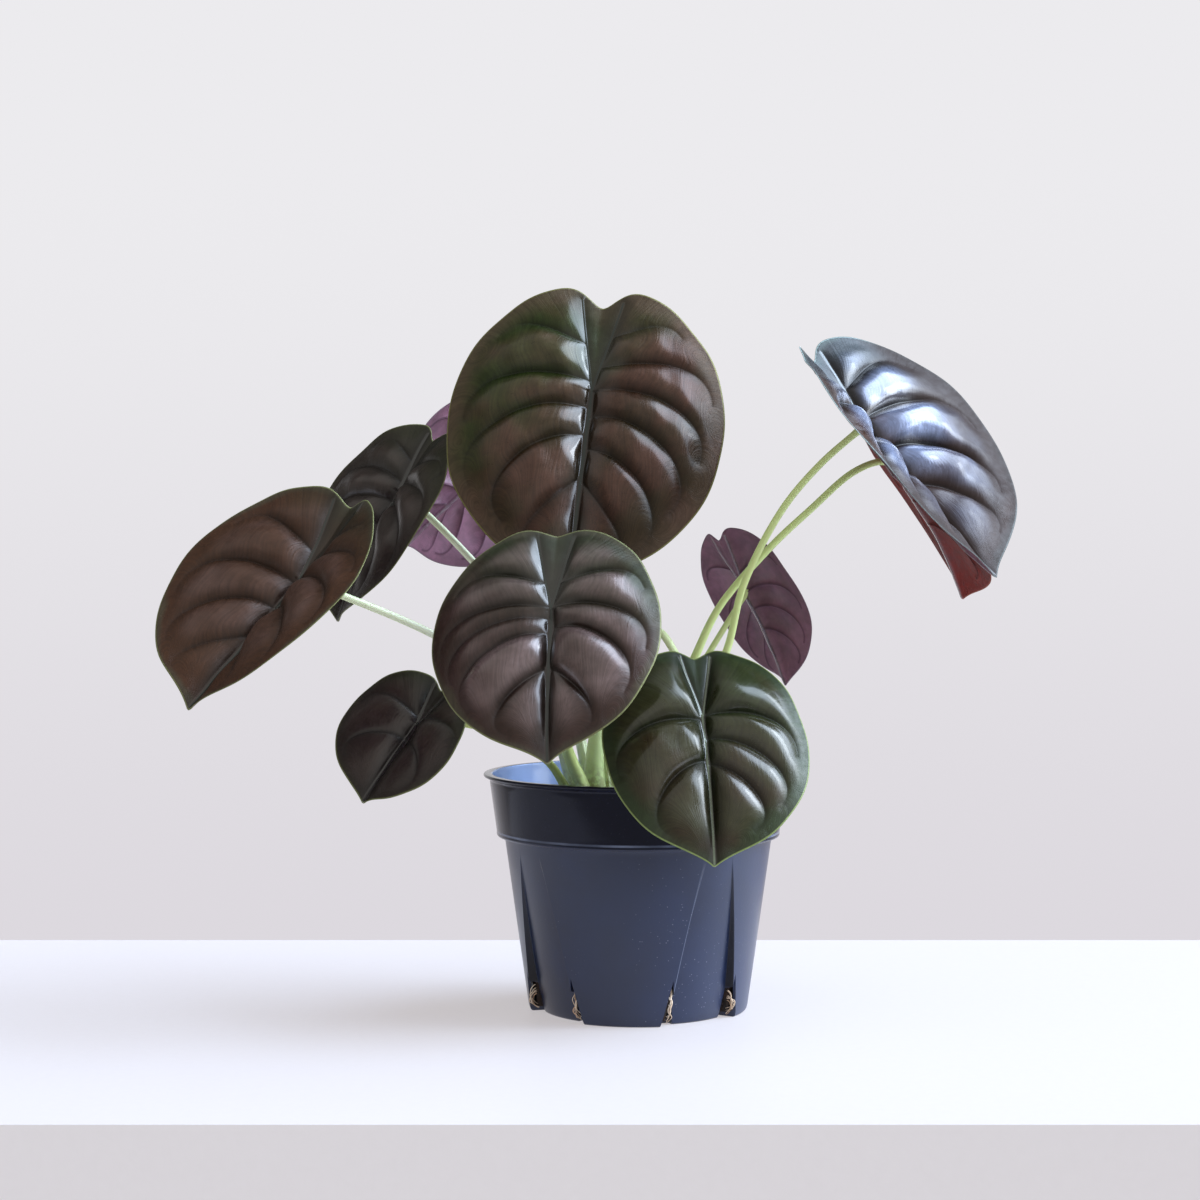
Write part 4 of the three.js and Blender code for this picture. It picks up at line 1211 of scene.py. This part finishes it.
# A rough bit of bark: three uneven rings of six, and a point at each end
def lump(chance, centre, size, squash):
    s, sides = lumpShape, lumpShape["sides"]
    wide, tall = squash
    turn = Matrix.Rotation(chance.uniform(0, 6.3), 3, "Z")
    turn = turn @ Matrix.Rotation(chance.uniform(-s["tilt"], s["tilt"]), 3, "X")
    spots = []
    for tilt in s["rings"]:
        for around in range(0, 360, 360 // sides):
            a = math.radians(around + chance.uniform(-s["around"], s["around"]))
            b = math.radians(tilt + chance.uniform(-s["up"], s["up"]))
            reach = size * chance.uniform(*s["reach"])
            spot = Vector((math.cos(a) * math.cos(b), math.sin(a) * math.cos(b) * wide, math.sin(b) * tall))
            spots.append(spot * reach)
    spots += [Vector((0, 0, end * size * tall)) for end in (1, -1)]
    rings = len(s["rings"])
    faces = ringFaces(rings, sides, capped=False)
    last = (rings - 1) * sides
    for k in range(sides):
        m = (k + 1) % sides
        faces += [(last + k, last + m, rings * sides), (m, k, rings * sides + 1)]
    return [tuple(turn @ spot + Vector(centre)) for spot in spots], faces


def makeMix(material):
    m = mixShape
    chance = random.Random("mix")
    waves = [(chance.uniform(0, 6.3), chance.uniform(*m["waveLength"]), chance.uniform(0, 6.3))
             for _ in range(m["waves"])]

    def rough(x, y):
        total = sum(math.sin((x * math.cos(a) + y * math.sin(a)) * fullTurn / n + p) for a, n, p in waves)
        return total / m["waveShare"] * m["rough"]

    def inside(height):
        return bodyRadius(height) - pot["wall"] - m["gap"]

    top, bottom = m["top"], m["bottom"]
    columns = panelColumns()[::2]
    points = []
    for r in np.linspace(*m["radii"], m["rows"]):
        for column in columns:
            angle, _ = columnPlace(column, m["columnsAt"])
            x, y = r * math.sin(angle), -r * math.cos(angle)
            points.append((x, y, top + rough(x, y)))
    grainRound, grainUp = m["sideGrain"]
    for h in [*np.linspace(top - m["sideFrom"], bottom + m["sideTo"], m["sideRows"]), bottom]:
        for column in columns:
            x, y, z = pressedPoint(column, min(inside(h), m["sideRadius"]), h, m["ease"])
            grain = rough(math.atan2(y, x) * grainRound, z * grainUp)
            away = 1 + (grain - m["sideMiddle"]) * m["sideRough"]
            points.append((x * away, y * away, z))
    faces = ringFaces(m["rows"] + m["sideRows"] + 1, len(columns), inward=True)
    tint = [m["tint"]] * len(points)

    def addLump(centre, size, wide, tall, shade):
        spots, sides = lump(chance, centre, size, (chance.uniform(*wide), chance.uniform(*tall)))
        first = len(points)
        points.extend(spots)
        faces.extend(tuple(first + i for i in face) for face in sides)
        tint.extend([shade()] * len(spots))

    for _ in range(m["chunks"]):
        r = m["chunkReach"] * math.sqrt(chance.random())
        a = chance.uniform(0, fullTurn)
        size = chance.uniform(*m["chunk"])
        x, y = r * math.cos(a), r * math.sin(a)
        addLump((x, y, top + rough(x, y) + size * m["chunkLift"]), size, m["chunkWide"], m["chunkTall"],
                lambda: 1.0 if chance.random() < m["perlite"] else chance.uniform(*m["chunkTint"]))
    for angle, _ in slitAngles():
        for _ in range(m["slitChunks"]):
            h = chance.uniform(*m["slitHeights"])
            outward, _ = outwardAxes(angle + chance.uniform(-m["slitSpread"], m["slitSpread"]))
            centre = outward * (inside(h) - m["slitInset"]) * m["slitShare"] + np.array([0, 0, h])
            addLump(centre, chance.uniform(*m["slitChunk"]), m["slitWide"], m["slitTall"],
                    lambda: chance.uniform(*m["slitTint"]))
    dress(buildMesh("mix", points, faces, {"tint": tint}), material, "potting_mix")


def mixFinish():
    look = mixLook
    material, tree, shader = newMaterial("potting_mix")
    place, tint, over = objectPlace(tree), reading(tree, "tint"), namedSpans(tree, look)
    coarse, fine = cloud(tree, place, *look["coarse"]), cloud(tree, place, *look["fine"])
    colour = layered(
        tree, look, look["dark"],
        (over(coarse, "barkPatch"), "bark"),
        (over(tint, "chips"), "chip"),
        (over(tint, "whites"), "perlite"))
    colour = shaded(tree, colour, over(fine, "speckle"))
    finish(tree, shader, colour, over(coarse, "rough"), coarse, *look["bump"])
    return material


crownShape = {
    "centre": (-11, 0), "radius": 16, "flat": 0.8, "base": 70, "top": 76.9, "sides": 96, "rows": 40,
    "rings": 1.1, "ring": 0.35, "dome": 0.55, "bulges": ((0.05, 3), (0.03, 7)), "lift": (0.35, 5),
    "least": 0.4,
}
crownLook = {
    "brown": "#5a4a26", "green": "#7d8a48", "scar": "#3f2f1a", "coarse": (180, 4, 0.6),
    "bands": (60, 60, 900), "greenPatch": (0.35, 0.65), "scars": (0.4, 0.7, 0.0, 0.6),
    "rough": (0.3, 0.7, 0.5, 0.75), "bump": (0.5, 0.6),
}


def makeCrown(material):
    c = crownShape
    chance = random.Random("crown")
    phases = [chance.uniform(0, 6.3) for _ in range(5)]
    (x, y), (lift, liftTurns) = c["centre"], c["lift"]
    points = []
    for t in np.arange(c["rows"]) / (c["rows"] - 1):
        height = c["base"] + (c["top"] - c["base"]) * math.sin(t * math.pi / 2)
        ring = c["ring"] * math.sin(height * fullTurn / c["rings"])
        for a in np.arange(c["sides"]) * fullTurn / c["sides"]:
            away = c["radius"] * math.cos(t * math.pi / 2) ** c["dome"] + ring
            bulges = zip(c["bulges"], phases)
            away *= 1 + sum(size * math.sin(turns * a + phase) for (size, turns), phase in bulges)
            away = max(away, c["least"])
            up = lift * math.sin(liftTurns * a + phases[2]) * (1 - t)
            points.append((x + away * math.cos(a), y + away * c["flat"] * math.sin(a), height + up))
    dress(buildMesh("crown_dome", points, ringFaces(c["rows"], c["sides"])), material, "crown")


def crownFinish():
    look = crownLook
    material, tree, shader = newMaterial("crown")
    place, over = objectPlace(tree), namedSpans(tree, look)
    coarse = cloud(tree, place, *look["coarse"])
    bands = cloud(tree, stretched(tree, place, look["bands"]), 1.0, 3)
    colour = layered(
        tree, look, look["brown"], (over(coarse, "greenPatch"), "green"), (over(bands, "scars"), "scar"))
    finish(tree, shader, colour, over(coarse, "rough"), bands, *look["bump"])
    return material


rootShape = {
    "strands": 5, "radius": (0.13, 0.28), "steps": 34, "sides": 8, "out": (0.2, 1.5), "tops": (6, 15),
    "bottoms": (1.0, 3.5), "firstStrand": (11, 1.2), "firstThick": 1.15, "inset": 2.9, "bow": 1.8,
    "bowPower": 0.7, "lean": (-1.3, 1.3), "sway": (0.3, 1.2), "turns": (1, 2.6), "wiggle": (0.35, 9),
    "taper": 0.55,
}
rootLook = {
    "pale": "#f0e4d0", "tan": "#c09a78", "brown": "#6a4632", "coarse": (700, 3, 0.6),
    "stains": (0.5, 0.8, 0.0, 0.5), "rough": (0.3, 0.7, 0.5, 0.75), "bump": (0.4, 0.2),
}


def makeRoots(index, angle, hand, material):
    r, sides = rootShape, rootShape["sides"]
    chance = random.Random(f"root {index}")
    points, faces, tint = [], [], []
    outward, sideways = outwardAxes(angle)
    share = np.linspace(0, 1, r["steps"])
    around = np.linspace(0, fullTurn, sides, endpoint=False)
    for strand in range(r["strands"]):
        top, bottom = chance.uniform(*r["tops"]), chance.uniform(*r["bottoms"])
        if strand == 0:
            top, bottom = r["firstStrand"]
        lean, sway = chance.uniform(*r["lean"]), chance.uniform(*r["sway"])
        phase, turns = chance.uniform(0, 6.3), chance.uniform(*r["turns"])
        reach = chance.uniform(*r["out"])
        wiggle, wiggleTurns = r["wiggle"]
        spots = []
        for t in share:
            h = top + (bottom - top) * t
            up = h / slitShape["height"]
            across = -hand * slitShape["lean"] * up
            across += (1 - up) * (lean + sway * math.sin(fullTurn * turns * t + phase))
            out = bodyRadius(h) - r["inset"] + (r["bow"] + reach) * math.sin(math.pi * t) ** r["bowPower"]
            height = np.array([0, 0, h + wiggle * math.sin(wiggleTurns * t + phase)])
            spots.append(outward * out + sideways * across + height)
        size = chance.uniform(*r["radius"]) * (r["firstThick"] if strand == 0 else 1)
        thick = size * (1 - r["taper"] * share)
        rings = tubeRings(np.array(spots), outward, thick[:, None], around)
        faces += ringFaces(r["steps"], sides, len(points))
        points += rings.reshape(-1, 3).tolist()
        tint += [chance.random()] * (r["steps"] * sides)
    dress(buildMesh(f"roots_{index}", points, faces, {"tint": tint}), material, f"root_{index}")


def rootFinish():
    look = rootLook
    material, tree, shader = newMaterial("root")
    coarse, over = cloud(tree, objectPlace(tree), *look["coarse"]), namedSpans(tree, look)
    colour = layered(
        tree, look, look["pale"], (reading(tree, "tint"), "tan"), (over(coarse, "stains"), "brown"))
    finish(tree, shader, colour, over(coarse, "rough"), coarse, *look["bump"])
    return material


print("mix, crown and roots")
makeMix(mixFinish())
makeCrown(crownFinish())
rootPaint = rootFinish()
for rootNumber, (slitAngle, slitHand) in enumerate(slitAngles(), 1):
    makeRoots(rootNumber, slitAngle, slitHand, rootPaint)


# Floor, backdrop, light and camera

cameraSpot = {"place": (-14.8, -969, 183.6), "tiltDown": 1.49, "lens": 75, "sensor": 36, "clip": (10, 20000)}
sideLight = {
    "place": (2000, -100, 1100), "aim": (0, -100, 1100), "size": (600, 1700), "power": 32,
    "colour": (0.84, 0.92, 1.0),
}
floorShape = {"front": -195, "back": 160, "half": 2200, "deep": 60}
floorLook = {
    "paint": "#99999f", "cloud": "#9f9fa5", "rough": 0.55, "glow": "#fbf5f7", "glowStrength": 0.47,
    "grain": (300, 4), "bump": (0.1, 0.5),
}


def makeCamera():
    data = bpy.data.cameras.new("camera")
    data.lens = cameraSpot["lens"]
    data.sensor_width = cameraSpot["sensor"]
    data.clip_start, data.clip_end = (reach * mm for reach in cameraSpot["clip"])
    camera = putInScene(bpy.data.objects.new("camera", data))
    camera.location = Vector(cameraSpot["place"]) * mm
    camera.rotation_euler = (math.radians(90 - cameraSpot["tiltDown"]), 0, 0)
    bpy.context.scene.camera = camera


def makeSideLight():
    data = bpy.data.lights.new("sideLight", "AREA")
    data.shape = "RECTANGLE"
    data.size, data.size_y = (length * mm for length in sideLight["size"])
    data.energy = sideLight["power"]
    data.color = sideLight["colour"]
    light = putInScene(bpy.data.objects.new("sideLight", data))
    place, aim = (Vector(sideLight[key]) * mm for key in ("place", "aim"))
    light.location = place
    light.rotation_euler = (place - aim).to_track_quat("Z", "Y").to_euler()


def makeStage():
    f, look = floorShape, floorLook
    material, tree, shader = newMaterial("floor_paint")
    fine = cloud(tree, objectPlace(tree), *look["grain"])
    shader.inputs["Emission Color"].default_value = paint(look["glow"])
    shader.inputs["Emission Strength"].default_value = look["glowStrength"]
    colour = blend(tree, fine, look["paint"], look["cloud"])
    finish(tree, shader, colour, look["rough"], fine, *look["bump"])
    sides, ends = (-f["half"], f["half"]), (f["front"], f["back"])
    corners = [(x, y, z) for z in (-f["deep"], 0) for x in sides for y in ends]
    faces = [(0, 1, 3, 2), (4, 6, 7, 5), (0, 2, 6, 4), (1, 5, 7, 3), (0, 4, 5, 1), (2, 3, 7, 6)]
    floor = buildMesh("floor", corners, faces)
    floor.data.materials.append(material)


# The surroundings: a pale backdrop, soft light from the front, a glow at the right, dim above and
# below. Spans run over the x, y or z of the direction.

skyLight = {
    "left": 0.3, "front": 0.75, "above": 0.62, "aboveBack": 0.08, "below": 0.4,
    "tint": "#fffaf6", "backLow": "#dcd8de", "backHigh": "#ecebee",
    "glow": (5.7, 6.7, 8.2, 1), "glowAt": (0.75, 0.05, 0.66), "glowSpan": (0.80, 0.93),
    "leftToFront": (-0.9, 0.2), "frontToAbove": (0.35, 0.7), "toBack": (0.05, 0.4), "toHigh": (0.1, 0.4),
    "toBelow": (-0.2, 0.0, 1.0, 0.0), "backRise": (-0.2, 0.16), "backdrop": (0.45, 0.85),
    "backdropTop": (0.24, 0.36, 1.0, 0.0),
}


def makeWorld():
    sky = skyLight
    world = bpy.data.worlds.new("studio")
    world.use_nodes = True
    bpy.context.scene.world = world
    tree = world.node_tree
    heading, over = addNode(tree, "TexCoord", {}, "Generated"), namedSpans(tree, skyLight)
    x, y, z = threeWays(tree, heading)

    def grey(key):
        return (sky[key], sky[key], sky[key], 1)

    light = blend(tree, over(x, "leftToFront"), grey("left"), grey("front"))
    light = blend(tree, over(z, "frontToAbove"), light, grey("above"))
    light = blend(tree, times(tree, over(y, "toBack"), over(z, "toHigh")), light, grey("aboveBack"))
    light = blend(tree, over(z, "toBelow"), light, grey("below"))
    light = shaded(tree, light, sky["tint"])
    nearGlow = addNode(tree, "VectorMath", {0: heading, 1: sky["glowAt"]}, "Value", operation="DOT_PRODUCT")
    light = blend(tree, over(nearGlow, "glowSpan"), light, sky["glow"])
    back = blend(tree, over(z, "backRise"), sky["backLow"], sky["backHigh"])
    light = blend(tree, times(tree, over(y, "backdrop"), over(z, "backdropTop")), light, back)
    feed(tree, tree.nodes["Background"].inputs["Color"], light)


print("stage")
makeCamera()
makeStage()
makeWorld()
makeSideLight()
bpy.context.scene.view_settings.view_transform = "Standard"
